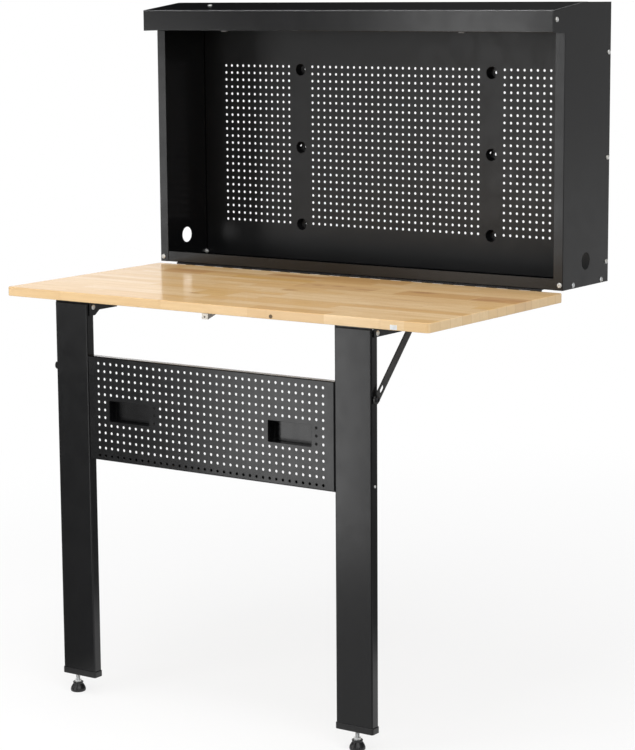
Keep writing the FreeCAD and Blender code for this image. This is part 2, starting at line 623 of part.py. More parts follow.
def top_screws():
    """Screws on the hood's slope."""
    return Part.makeCompound([screw(V(x, y, z), slope_normal(), SCREW_HEAD * 1.4, TOP_SCREW_HEAD, SCREW_SHANK,
                                    FLANGE_SCREW_REACH) for x, y, z in top_screw_places()])


# ---- piano hinge -----------------------------------------------------------
def knuckle_spans():
    """(start, end) of every knuckle along the hinge; even ones are the cabinet's."""
    step = HINGE_LENGTH / HINGE_KNUCKLES
    start = -HINGE_LENGTH / 2
    return [(start + k * step + HINGE_GAP / 2, start + (k + 1) * step - HINGE_GAP / 2)
            for k in range(HINGE_KNUCKLES)]


def hinge_screw_places():
    """X of the screws along each leaf."""
    return [HINGE_LENGTH * ((k + 0.5) / HINGE_SCREWS - 0.5) for k in range(HINGE_SCREWS)]


def hinge_leaf(first, plate, tab, bore, drill_start, drill_direction):
    """One leaf: its plate, a tab to each of its knuckles, the knuckles and the screw holes."""
    pieces = [plate]
    for x0, x1 in knuckle_spans()[first::2]:
        pieces.append(tab(x0, x1))
        pieces.append(rod(HINGE_BARREL, V(x0, PIN_Y, PIN_Z), V(1, 0, 0), x1 - x0))
    leaf = fuse(pieces)
    drills = [rod(bore, V(-HINGE_LENGTH, PIN_Y, PIN_Z), V(1, 0, 0), 2 * HINGE_LENGTH)]
    drills += [rod(SCREW_SHANK, drill_start(x), drill_direction, 4 * HINGE_LEAF)
               for x in hinge_screw_places()]
    return leaf.cut(Part.makeCompound(drills))


def cabinet_leaf():
    """Upper leaf, flat under the shelf."""
    top = CABINET_BOTTOM
    start = PIN_Y + HINGE_BARREL + HINGE_GAP
    plate = box(-HINGE_LENGTH / 2, HINGE_LENGTH / 2, start, start + HINGE_LEAF_WIDTH, top - HINGE_LEAF, top)

    def tab(x0, x1):
        return box(x0, x1, PIN_Y, start, top - HINGE_LEAF, top - 0.35)

    return hinge_leaf(0, plate, tab, HINGE_PIN,
                      lambda x: V(x, start + HINGE_LEAF_WIDTH * 0.6, top - 3 * HINGE_LEAF), V(0, 0, 1))


def table_leaf():
    """Lower leaf, upright against the tabletop's rear edge."""
    rear = TABLE_REAR
    start = PIN_Z - HINGE_BARREL - HINGE_GAP
    plate = box(-HINGE_LENGTH / 2, HINGE_LENGTH / 2, rear, rear + HINGE_LEAF, start - HINGE_LEAF_WIDTH + 4, start)

    def tab(x0, x1):
        return box(x0, x1, rear, rear + HINGE_LEAF, start, PIN_Z)

    return hinge_leaf(1, plate, tab, HINGE_PIN + HINGE_PLAY,
                      lambda x: V(x, rear - HINGE_LEAF, start - HINGE_LEAF_WIDTH * 0.45), V(0, 1, 0))


def cabinet_leaf_screws():
    """Screws up through the cabinet's leaf, short of the shelf's upper face."""
    y = PIN_Y + HINGE_BARREL + HINGE_GAP + HINGE_LEAF_WIDTH * 0.6
    z = CABINET_BOTTOM - HINGE_LEAF
    return Part.makeCompound([screw(V(x, y, z), V(0, 0, -1), SCREW_HEAD, LOW_HEAD, SCREW_SHANK, HINGE_LEAF)
                              for x in hinge_screw_places()])


def table_leaf_screws():
    """Screws through the table's leaf, seated on its face."""
    z = PIN_Z - HINGE_BARREL - HINGE_GAP - HINGE_LEAF_WIDTH * 0.45
    y = TABLE_REAR + HINGE_LEAF
    return Part.makeCompound([screw(V(x, y, z), V(0, 1, 0), SCREW_HEAD, LOW_HEAD, SCREW_SHANK, HINGE_LEAF)
                              for x in hinge_screw_places()])


# ---- tabletop and its fittings ---------------------------------------------
def tabletop():
    """Solid wood top with rounded corners and eased edges."""
    wire = rounded_rectangle(TABLE_WIDTH, TABLE_DEPTH, TABLE_CORNER)
    wire.translate(V(0, (TABLE_FRONT + TABLE_REAR) / 2, TABLE_UNDER))
    top = Part.Face(wire).extrude(V(0, 0, TABLE_THICKNESS))
    level = [edge for edge in top.Edges
             if abs(edge.BoundBox.ZMin - edge.BoundBox.ZMax) < 1e-6]
    top = top.makeFillet(TABLE_EDGE, level)
    depth = STRIKE_SIZE[2]
    seat = box(STRIKE_X - STRIKE_SIZE[0] / 2, STRIKE_X + STRIKE_SIZE[0] / 2,
               TABLE_FRONT, TABLE_FRONT + depth, FITTING_Z - STRIKE_SIZE[1] / 2, FITTING_Z + STRIKE_SIZE[1] / 2)
    plug = rod(BUFFER_RADIUS, V(BUFFER_X, TABLE_FRONT, FITTING_Z), V(0, 1, 0), 8.0)
    return top.cut(seat).cut(plug)


def strike_plate():
    """Plate let in to the tabletop's front edge."""
    x, z = STRIKE_X, FITTING_Z
    plate = box(x - STRIKE_SIZE[0] / 2, x + STRIKE_SIZE[0] / 2, TABLE_FRONT, TABLE_FRONT + STRIKE_SIZE[2],
                z - STRIKE_SIZE[1] / 2, z + STRIKE_SIZE[1] / 2)
    head = screw(V(x, TABLE_FRONT, z), V(0, -1, 0), SCREW_HEAD * 0.75, 1.0, SCREW_SHANK / 2, STRIKE_SIZE[2])
    return fuse([plate, head])


def edge_buffer():
    """Rubber buffer in the tabletop's front edge."""
    return revolved([(0, -8.0), (BUFFER_RADIUS, -8.0), (BUFFER_RADIUS, 0.8), (BUFFER_RADIUS - 1, 1.6), (0, 1.6)],
                    V(BUFFER_X, TABLE_FRONT, FITTING_Z), V(0, -1, 0))


def hasp():
    """Zinc bracket under the front edge: a drilled tab, a foot and two tapering cheeks."""
    half = HASP_WIDTH / 2
    front = TABLE_FRONT
    low = TABLE_UNDER - HASP_DROP
    tab = box(-half, half, front, front + HASP_SHEET, low, TABLE_UNDER)
    foot = box(-half, half, front, front + HASP_LENGTH, TABLE_UNDER - HASP_SHEET, TABLE_UNDER)
    cheek = [(front, low), (front + HASP_LENGTH * 0.72, TABLE_UNDER - 5.0),
             (front + HASP_LENGTH * 0.72, TABLE_UNDER), (front, TABLE_UNDER)]
    cheeks = [prism_x(cheek, half - HASP_SHEET, half), prism_x(cheek, -half, -half + HASP_SHEET)]
    bracket = fuse([tab, foot] + cheeks)
    return bracket.cut(rod(HASP_HOLE, V(0, front - 1, (low + TABLE_UNDER - HASP_SHEET) / 2),
                           V(0, 1, 0), HASP_SHEET + 2))


def hasp_screw():
    """Screw at the hasp's tail."""
    return screw(V(0, TABLE_FRONT + HASP_LENGTH - 6.0, TABLE_UNDER - HASP_SHEET), V(0, 0, -1),
                 SCREW_HEAD, 2.4, SCREW_SHANK * 0.8, 0.0)


def leg_bracket():
    """Right hand bracket: base plate, outer strip that also carries the stay, inner ear with gusset."""
    top = TABLE_UNDER
    front = LEG_FACE + BRACKET_FRONT
    base_back = front + BRACKET_BASE
    base = box(EAR_IN - BRACKET_SHEET, EAR_OUT + BRACKET_SHEET, front, base_back, top - BRACKET_SHEET, top)
    foot = box(EAR_OUT + BRACKET_SHEET - STRIP_FOOT, EAR_OUT + BRACKET_SHEET, base_back,
               STAY_PIVOT.y - STAY_EYE, top - BRACKET_SHEET, top)
    bottom = top - BRACKET_EAR
    end = STAY_PIVOT.y - STAY_EYE
    eye = STAY_EYE - 1.0
    strip = [(front, top), (front, bottom), (end, bottom), (STAY_PIVOT.y, STAY_PIVOT.z - eye * 0.98),
             (STAY_PIVOT.y, STAY_PIVOT.z + eye * 0.98), (end, top)]
    outer = fuse([prism_x(strip, EAR_OUT, EAR_OUT + BRACKET_SHEET),
                  rod(eye, V(EAR_OUT, STAY_PIVOT.y, STAY_PIVOT.z), V(1, 0, 0), BRACKET_SHEET)])
    gusset = [(front, top), (front, top - GUSSET_DROP), (front + GUSSET_RUN * 0.55, top - GUSSET_DROP),
              (front + GUSSET_RUN, bottom), (base_back, bottom), (base_back, top)]
    inner = prism_x(gusset, EAR_IN - BRACKET_SHEET, EAR_IN)
    room = LEG_WALL + BRACKET_LIP_PLAY
    lip = box(LEG_INNER + room, LEG_OUTER - room, front, front + BRACKET_SHEET, top - BRACKET_SHEET - BRACKET_LIP, top)
    bracket = fuse([base, foot, outer, inner, lip])
    drills = [rod(BOLT_RADIUS, V(EAR_IN - 10, PIVOT.y, PIVOT.z), V(1, 0, 0), LEG_WIDTH + 20),
              rod(BOLT_RADIUS, V(EAR_OUT - 1, STAY_PIVOT.y, STAY_PIVOT.z), V(1, 0, 0), BRACKET_SHEET + 2)]
    return bracket.cut(Part.makeCompound(drills))


def bracket_screws():
    """Wood screws under the right bracket, clear of the leg's swing."""
    z = TABLE_UNDER - BRACKET_SHEET
    places = [(LEG_X - 30, LEG_BACK + 20), (LEG_X + 30, LEG_BACK + 20), (LEG_X - 30, LEG_BACK + 45),
              (LEG_X + 30, LEG_BACK + 45), (EAR_OUT - 7, STAY_PIVOT.y - 30)]
    return Part.makeCompound([screw(V(x, y, z), V(0, 0, -1), SCREW_HEAD, WOOD_HEAD, SCREW_SHANK, 0.0)
                              for x, y in places])


def pivot_bolts():
    """Two bolts that carry the right leg, one through each ear, and their nuts inside the leg."""
    y, z = PIVOT.y, PIVOT.z
    outer = EAR_OUT + BRACKET_SHEET
    inner = EAR_IN - BRACKET_SHEET
    reach = BRACKET_SHEET + BRACKET_GAP + LEG_WALL
    pieces = []
    for x, way in ((outer, 1), (inner, -1)):
        bolt = screw(V(x, y, z), V(way, 0, 0), BOLT_HEAD_RADIUS, BOLT_HEAD_HEIGHT, BOLT_RADIUS,
                     reach + BRACKET_GAP + NUT_HEIGHT)
        nut = hexagon(NUT_RADIUS, V(x - way * (reach + BRACKET_GAP), y, z), V(-way, 0, 0), NUT_HEIGHT, BOLT_RADIUS)
        pieces.append(fuse([bolt, nut]))
    return Part.makeCompound(pieces)


def stay_rivet():
    """Rivet that carries the right stay on the bracket's strip."""
    x = EAR_OUT + BRACKET_SHEET
    shank = STAY_STANDOFF + STAY_SHEET + 0.3
    tail = BRACKET_SHEET
    profile = [(0, -tail), (BOLT_RADIUS, -tail), (BOLT_RADIUS, shank), (5.0, shank), (5.0, shank + 0.8),
               (3.5, shank + 2.0), (0, shank + 2.0)]
    return revolved(profile, V(x, STAY_PIVOT.y, STAY_PIVOT.z), V(1, 0, 0))


# ---- leg frame pieces ------------------------------------------------------
def leg():
    """Right leg: tube open behind the pivot, drilled for the bolts, the stud and the panel."""
    tube = rounded_bar(LEG_WIDTH, LEG_DEPTH, LEG_CORNER, LEG_X, LEG_CENTRE_Y, LEG_BOTTOM, LEG_TOP)
    tube = tube.cut(rounded_bar(LEG_WIDTH - 2 * LEG_WALL, LEG_DEPTH - 2 * LEG_WALL, LEG_CORNER - LEG_WALL,
                                LEG_X, LEG_CENTRE_Y, LEG_BOTTOM - 1, LEG_TOP + 1))
    tube = tube.cut(box(LEG_INNER + LEG_WALL, LEG_OUTER - LEG_WALL, LEG_BACK - LEG_WALL - 1, LEG_BACK + 1,
                        LEG_TOP - LEG_BACK_RELIEF, LEG_TOP + 1))
    tube = tube.cut(rod(BOLT_RADIUS + RUNNING, V(LEG_INNER - 1, PIVOT.y, PIVOT.z), V(1, 0, 0), LEG_WIDTH + 2))
    tube = tube.cut(rod(BOLT_RADIUS, V(LEG_X, STUD.y, STUD.z), V(1, 0, 0), LEG_WIDTH))
    for y, z in panel_screw_places():
        tube = tube.cut(rod(SCREW_SHANK, V(LEG_INNER - 1, y, z), V(1, 0, 0), LEG_WALL + 2))
    y, z = panel_screw_places()[1]
    return tube.cut(rod(SCREW_SHANK, V(LEG_OUTER - LEG_WALL - 1, y, z), V(1, 0, 0), LEG_WALL + 2))


def leg_cap(foot_x):
    """Plastic shoe over the leg's lower end, drilled for the foot."""
    cap = rounded_bar(LEG_WIDTH + 2 * CAP_WALL, LEG_DEPTH + 2 * CAP_WALL, LEG_CORNER + CAP_WALL,
                      LEG_X, LEG_CENTRE_Y, LEG_CAP_BOTTOM, LEG_CAP_BOTTOM + CAP_HEIGHT)
    rim = [edge for edge in cap.Edges if abs(edge.BoundBox.ZMax - edge.BoundBox.ZMin) < 1e-6]
    cap = cap.makeFillet(CAP_WALL * 0.6, rim)
    cap = cap.cut(rounded_bar(LEG_WIDTH, LEG_DEPTH, LEG_CORNER, LEG_X, LEG_CENTRE_Y,
                              LEG_BOTTOM, LEG_CAP_BOTTOM + CAP_HEIGHT + 1))
    return cap.cut(rod(STUD_RADIUS + 2 * RUNNING, V(foot_x, LEG_CENTRE_Y, LEG_CAP_BOTTOM - 1),
                       V(0, 0, 1), CAP_HEIGHT))


def foot_insert(foot_x):
    """Threaded plate inside the leg's lower end, seated on the cap's floor."""
    width = LEG_WIDTH - 2 * LEG_WALL - 2 * RUNNING
    depth = LEG_DEPTH - 2 * LEG_WALL - 2 * RUNNING
    plate = rounded_bar(width, depth, LEG_CORNER - LEG_WALL, LEG_X, LEG_CENTRE_Y, LEG_BOTTOM, LEG_BOTTOM + 4)
    collar = rod(STUD_RADIUS + 4, V(foot_x, LEG_CENTRE_Y, LEG_BOTTOM), V(0, 0, 1), 14.0)
    return fuse([plate, collar]).cut(rod(STUD_RADIUS + RUNNING, V(foot_x, LEG_CENTRE_Y, LEG_BOTTOM - 1),
                                         V(0, 0, 1), 20.0))


def panel_screws():
    """Screws that hold the lower panel's right end to the leg."""
    return Part.makeCompound([screw(V(PANEL_HALF - SHEET, y, z), V(-1, 0, 0), SCREW_HEAD, WOOD_HEAD, SCREW_SHANK,
                                    SHEET + PANEL_END_GAP + LEG_WALL) for y, z in panel_screw_places()])


def leg_screws():
    """Screw in the right leg's outer side, level with the lower panel's lower screw."""
    y, z = panel_screw_places()[1]
    return Part.makeCompound([screw(V(LEG_OUTER, y, z), V(1, 0, 0), LEG_SCREW_HEAD, WOOD_HEAD, SCREW_SHANK,
                                    LEG_WALL)])


def stay_stud():
    """Black shoulder bolt on the right leg's outer side; its sleeve stands the stay off."""
    sleeve = STAY_IN - LEG_OUTER - 0.2
    reach = STAY_OUT - LEG_OUTER + 0.3
    profile = [(0, -LEG_WALL - 4), (BOLT_RADIUS + 1.5, -LEG_WALL - 4), (BOLT_RADIUS + 1.5, -LEG_WALL),
               (BOLT_RADIUS, -LEG_WALL), (BOLT_RADIUS, 0), (STUD_SLEEVE, 0), (STUD_SLEEVE, sleeve),
               (BOLT_RADIUS, sleeve), (BOLT_RADIUS, reach), (STUD_HEAD, reach),
               (STUD_HEAD, reach + STUD_HEAD_HEIGHT * 0.6), (STUD_HEAD * 0.7, reach + STUD_HEAD_HEIGHT),
               (0, reach + STUD_HEAD_HEIGHT)]
    return revolved(profile, V(LEG_OUTER, STUD.y, STUD.z), V(1, 0, 0))


def foot_stud(foot_x):
    """Threaded stud of a foot with its lock nut."""
    y = LEG_CENTRE_Y
    base = FLOOR_Z + 8.0
    stem = rod(STUD_RADIUS, V(foot_x, y, base), V(0, 0, 1), FOOT_STUD_LENGTH)
    nut_base = FLOOR_Z + GLIDE_HEIGHT - 2.0
    nut = hexagon(FOOT_NUT_RADIUS, V(foot_x, y, nut_base), V(0, 0, 1), FOOT_NUT_HEIGHT, STUD_RADIUS / 2)
    return fuse([stem, nut])


def foot_glide(foot_x):
    """Moulded glide: a domed base with a collar around the nut."""
    r, h = GLIDE_RADIUS, GLIDE_HEIGHT
    well = h - 2.0
    profile = [(0, 0), (r - 3.5, 0), (r - 1.2, 1.5), (r, 5.0), (r, 9.0), (r - 1.0, 13.5), (r - 3.6, 18.0),
               (GLIDE_COLLAR + 0.2, 21.0), (GLIDE_COLLAR - 0.8, 23.0), (GLIDE_COLLAR, h),
               (GLIDE_COLLAR - 2.2, h), (GLIDE_COLLAR - 2.2, well), (STUD_RADIUS, well),
               (STUD_RADIUS, 8.0), (0, 8.0)]
    return revolved(profile, V(foot_x, LEG_CENTRE_Y, FLOOR_Z), V(0, 0, 1))


# ---- stay ------------------------------------------------------------------
def stay():
    """Right stay: an eye on the rivet, a relief that nests the stud when folded, a window and a hook.

    Points are (along, across) the bar; across is positive on the rear, lower side at rest.
    """
    length = (STUD - STAY_PIVOT).Length
    heading = math.atan2(STUD.z - STAY_PIVOT.z, STUD.y - STAY_PIVOT.y)

    def place(along, across):
        return (STAY_PIVOT.y + along * math.cos(heading) - across * math.sin(heading),
                STAY_PIVOT.z + along * math.sin(heading) + across * math.cos(heading))

    half = STAY_WIDTH / 2
    neck = 4.4
    bar = [place(0, half - 2.6), place(16, half), place(length, half), place(length, -half),
           place(24, -half), place(14, -neck), place(0, -neck)]
    tip_y, tip_z = place(length + STAY_TIP - half, 0)
    solid = fuse([prism_x(bar, STAY_IN, STAY_OUT),
                  rod(STAY_EYE, V(STAY_IN, STAY_PIVOT.y, STAY_PIVOT.z), V(1, 0, 0), STAY_SHEET),
                  rod(half, V(STAY_IN, tip_y, tip_z), V(1, 0, 0), STAY_SHEET)])
    cuts = [rod(BOLT_RADIUS + RUNNING, V(STAY_IN - 1, STAY_PIVOT.y, STAY_PIVOT.z), V(1, 0, 0), STAY_SHEET + 2)]
    window = WINDOW_LENGTH / 2 - WINDOW_WIDTH / 2
    middle = length - WINDOW_FROM_STUD
    radius = WINDOW_WIDTH / 2
    ends = [place(middle - window, 0), place(middle + window, 0)]
    cuts += [rod(radius, V(STAY_IN - 1, y, z), V(1, 0, 0), STAY_SHEET + 2) for y, z in ends]
    cuts.append(prism_x([place(middle - window, radius), place(middle + window, radius),
                         place(middle + window, -radius), place(middle - window, -radius)],
                        STAY_IN - 1, STAY_OUT + 1))
    cuts += [prism_x(hull, STAY_IN - 1, STAY_OUT + 1) for hull in notch_steps(place)]
    play = BOLT_RADIUS + NOTCH_PLAY
    cuts.append(rod(play, V(STAY_IN - 1, STUD.y, STUD.z), V(1, 0, 0), STAY_SHEET + 2))
    return solid.cut(fuse(cuts))


def stud_in_stay(fold):
    """(along, across) of the stud as the stay sees it when the leg has folded by some degrees."""
    turn = math.radians(fold)
    y = -STUD_FORWARD * math.cos(turn) + STUD_DROP * math.sin(turn) + PIVOT.y - STAY_PIVOT.y
    z = -STUD_FORWARD * math.sin(turn) - STUD_DROP * math.cos(turn) + PIVOT.z - STAY_PIVOT.z
    rest = math.atan2(STUD.z - STAY_PIVOT.z, STUD.y - STAY_PIVOT.y)
    heading = rest + math.radians(fold * STAY_TURN / LEG_FOLD)
    return (y * math.cos(heading) + z * math.sin(heading),
            -y * math.sin(heading) + z * math.cos(heading))


def notch_steps(place):
    """Short straight slots along the stud's way out of the hook."""
    steps = [stud_in_stay(0.5 * k) for k in range(13)]
    width = BOLT_RADIUS + NOTCH_PLAY
    hulls = []
    for (a0, c0), (a1, c1) in zip(steps, steps[1:]):
        run = math.hypot(a1 - a0, c1 - c0)
        da, dc = (a1 - a0) / run, (c1 - c0) / run
        reach = 0.3
        start = (a0 - da * reach, c0 - dc * reach)
        end = (a1 + da * reach, c1 + dc * reach)
        hulls.append([place(start[0] - dc * width, start[1] + da * width),
                      place(end[0] - dc * width, end[1] + da * width),
                      place(end[0] + dc * width, end[1] - da * width),
                      place(start[0] + dc * width, start[1] - da * width)])
    return hulls


# ---- small fittings --------------------------------------------------------
def fascia_catch():
    """Right hand spring catch under the fascia's lip."""
    width, depth, drop = CATCH_SIZE
    y0 = -HOOD_PROJECTION + CATCH_INSET
    block = box(CATCH_X - width / 2, CATCH_X + width / 2, y0, y0 + depth, FASCIA_BOTTOM - drop, FASCIA_BOTTOM)
    low = [edge for edge in block.Edges
           if all(abs(vertex.Z - FASCIA_BOTTOM + drop) < 1e-6 for vertex in edge.Vertexes)]
    return block.makeFillet(drop * 0.35, low)


def both_sides(shape):
    """A group of the right hand solids and their mirror images."""
    return Part.makeCompound(shape.Solids + mirrored(shape).Solids)


def main():
    os.makedirs("parts", exist_ok=True)
    write_pair("cabinet_side", side_panel())
    write("cabinet_shelf", shelf())
    write("hood_fascia", hood())
    write("cabinet_top", top_panel())
    write("pegboard", pegboard())
    write_pair("wall_rail", wall_rail())
    write_pair("side_screws", side_screws())
    write_pair("side_nuts", side_nuts())
    write("flange_screws", flange_screws())
    write("hood_screws", top_screws())
    write_pair("fascia_catch", fascia_catch())
    write("hinge_leaf_cabinet", cabinet_leaf())
    write("hinge_leaf_table", table_leaf())
    write("hinge_pin", rod(HINGE_PIN, V(-HINGE_LENGTH / 2, PIN_Y, PIN_Z), V(1, 0, 0), HINGE_LENGTH))
    write("hinge_screws_cabinet", cabinet_leaf_screws())
    write("hinge_screws_table", table_leaf_screws())

    write("tabletop", tabletop())
    write("strike_plate", strike_plate())
    write("edge_buffer", edge_buffer())
    write("hasp_bracket", hasp())
    write("hasp_screw", hasp_screw())
    write_pair("leg_bracket", leg_bracket())
    write("bracket_screws", both_sides(bracket_screws()))
    write_pair("pivot_bolts", pivot_bolts())
    write_pair("stay_rivet", stay_rivet())
    write_pair("stay", stay())

    write_pair("leg", leg())
    write("lower_panel", lower_panel())
    write_pair("grip_cup", grip_cup())
    write("panel_screws", both_sides(panel_screws()))
    write("leg_screws", both_sides(leg_screws()))
    write_pair("stay_stud", stay_stud())
    feet = {"right": LEG_X, "left": LEG_X - FOOT_SHIFT_LEFT}
    for side, foot_x in feet.items():
        pieces = {"leg_cap": leg_cap(foot_x), "foot_insert": foot_insert(foot_x),
                  "foot_stud": foot_stud(foot_x), "foot_glide": foot_glide(foot_x)}
        for name, shape in pieces.items():
            write(name + "_" + side, shape if side == "right" else mirrored(shape))


main()
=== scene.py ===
"""Looks of a wall mounted folding workbench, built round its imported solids.

The solids keep their shapes and get finishes.  Fasteners and levelling feet are replaced by
surfaces worked out with numpy, and a plain pale studio carries the light and the camera.
"""

import json
import logging
import math
from collections.abc import Callable, Iterable
from dataclasses import dataclass
from enum import Enum

import bpy
import numpy as np
from mathutils import Matrix, Vector

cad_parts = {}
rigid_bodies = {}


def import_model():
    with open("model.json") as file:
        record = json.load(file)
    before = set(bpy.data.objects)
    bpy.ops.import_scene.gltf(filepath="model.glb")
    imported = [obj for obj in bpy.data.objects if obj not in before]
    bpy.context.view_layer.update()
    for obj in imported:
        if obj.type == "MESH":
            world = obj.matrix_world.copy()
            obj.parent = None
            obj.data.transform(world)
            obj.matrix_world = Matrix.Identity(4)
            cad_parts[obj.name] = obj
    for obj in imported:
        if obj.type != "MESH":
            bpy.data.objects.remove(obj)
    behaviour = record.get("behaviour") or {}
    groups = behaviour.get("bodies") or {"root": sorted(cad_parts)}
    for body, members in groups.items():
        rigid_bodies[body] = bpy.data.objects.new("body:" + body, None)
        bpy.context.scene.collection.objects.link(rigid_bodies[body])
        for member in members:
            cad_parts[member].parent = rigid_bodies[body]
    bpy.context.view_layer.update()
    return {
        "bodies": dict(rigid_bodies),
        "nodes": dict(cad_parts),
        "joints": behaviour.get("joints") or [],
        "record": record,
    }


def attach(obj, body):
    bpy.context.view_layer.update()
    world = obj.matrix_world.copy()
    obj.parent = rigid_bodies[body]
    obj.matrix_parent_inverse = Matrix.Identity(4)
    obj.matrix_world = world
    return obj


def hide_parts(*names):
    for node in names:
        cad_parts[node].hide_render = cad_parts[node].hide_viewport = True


LOG = logging.getLogger("workbench")
MM = 0.001
SHARP_ANGLE = math.radians(38)

Colour = tuple[float, float, float]
Socket = bpy.types.NodeSocket
Points = tuple[tuple[float, float], ...]
Grids = tuple[np.ndarray, np.ndarray]


class Body(Enum):
    """The rigid bodies of the bench."""

    CABINET = "cabinet"
    TABLE = "table"
    LEG_FRAME = "leg_frame"
    FOOT_LEFT = "foot_left"
    FOOT_RIGHT = "foot_right"


class Side(Enum):
    """Left and right as the user sees them, with the sign of X."""

    LEFT = -1
    RIGHT = 1

    @property
    def word(self) -> str:
        """The side's name in lower case."""
        return self.name.lower()


class Drive(Enum):
    """What a screw head is turned with."""

    CROSS = "cross"
    HEXAGON = "hexagon"


# ---- node graphs -------------------------------------------------------------
class Graph:
    """Adds nodes to one node tree and links them."""

    def __init__(self, tree: bpy.types.NodeTree) -> None:
        """Keep the tree that the nodes go into."""
        self.tree = tree

    def feed(self, socket: Socket, value: object) -> None:
        """Link a socket to another one, or set its value.

        Args:
            socket: the input that is fed.
            value: an output socket, or a number or tuple.
        """
        if isinstance(value, Socket):
            self.tree.links.new(value, socket)
        else:
            socket.default_value = value

    def node(self, kind: str, inputs: dict | None = None, **settings: object) -> bpy.types.Node:
        """Add one node.

        Args:
            kind: Blender's type name of the node.
            inputs: values or sockets by the input's name or number.
            settings: the node's own properties.

        Returns:
            The node.
        """
        node = self.tree.nodes.new(kind)
        for name, value in settings.items():
            setattr(node, name, value)
        for key, value in (inputs or {}).items():
            self.feed(node.inputs[key], value)
        return node

    def math(self, operation: str, *values: object) -> Socket:
        """Arithmetic on one to three numbers or sockets."""
        return self.node("ShaderNodeMath", dict(enumerate(values)), operation=operation).outputs[0]

    def vector(self, operation: str, *values: object) -> Socket:
        """Arithmetic on vectors that gives a vector."""
        return self.node("ShaderNodeVectorMath", dict(enumerate(values)), operation=operation).outputs[0]

    def combine(self, x: object, y: object, z: object) -> Socket:
        """A vector from its three numbers."""
        return self.node("ShaderNodeCombineXYZ", {0: x, 1: y, 2: z}).outputs[0]

    def split(self, vector: Socket) -> tuple[Socket, Socket, Socket]:
        """The three numbers of a vector."""
        return tuple(self.node("ShaderNodeSeparateXYZ", {0: vector}).outputs)

    def square_sum(self, first: Socket, second: Socket) -> Socket:
        """The sum of two squares."""
        return self.math("ADD", self.math("MULTIPLY", first, first), self.math("MULTIPLY", second, second))

    def mix(self, factor: object, first: object, second: object) -> Socket:
        """A blend of two colours."""
        return self.node("ShaderNodeMix", {0: factor, 6: first, 7: second}, data_type="RGBA").outputs[2]

    def remap(self, value: Socket, low: object, high: object, to_low: object = 0.0,
              to_high: object = 1.0) -> Socket:
        """A smooth step of a value from one range to another, held at its ends."""
        return self.node("ShaderNodeMapRange", {0: value, 1: low, 2: high, 3: to_low, 4: to_high},
                         interpolation_type="SMOOTHSTEP").outputs[0]

    def noise(self, vector: Socket, scale: object, detail: float = 2.0, rough: float = 0.5) -> Socket:
        """Fractal noise from 0 to 1 about 0.5."""
        return self.node("ShaderNodeTexNoise", {"Vector": vector, "Scale": scale, "Detail": detail,
                                                "Roughness": rough}).outputs[0]

    def random(self, vector: Socket) -> bpy.types.Node:
        """White noise of a vector; its outputs are a value and a colour."""
        return self.node("ShaderNodeTexWhiteNoise", {"Vector": vector}, noise_dimensions="3D")

    def group(self, tree: bpy.types.NodeTree, **values: object) -> bpy.types.Node:
        """Place a shared effect; underscores in a name stand for spaces."""
        inputs = {name.replace("_", " "): value for name, value in values.items()}
        return self.node("ShaderNodeGroup", inputs, node_tree=tree)

    def mask(self, tree: bpy.types.NodeTree, vector: Socket, **values: object) -> Socket:
        """The only output of a shared effect that runs from 0 to 1."""
        return self.group(tree, Vector=vector, Low=0.0, High=1.0, **values).outputs[0]


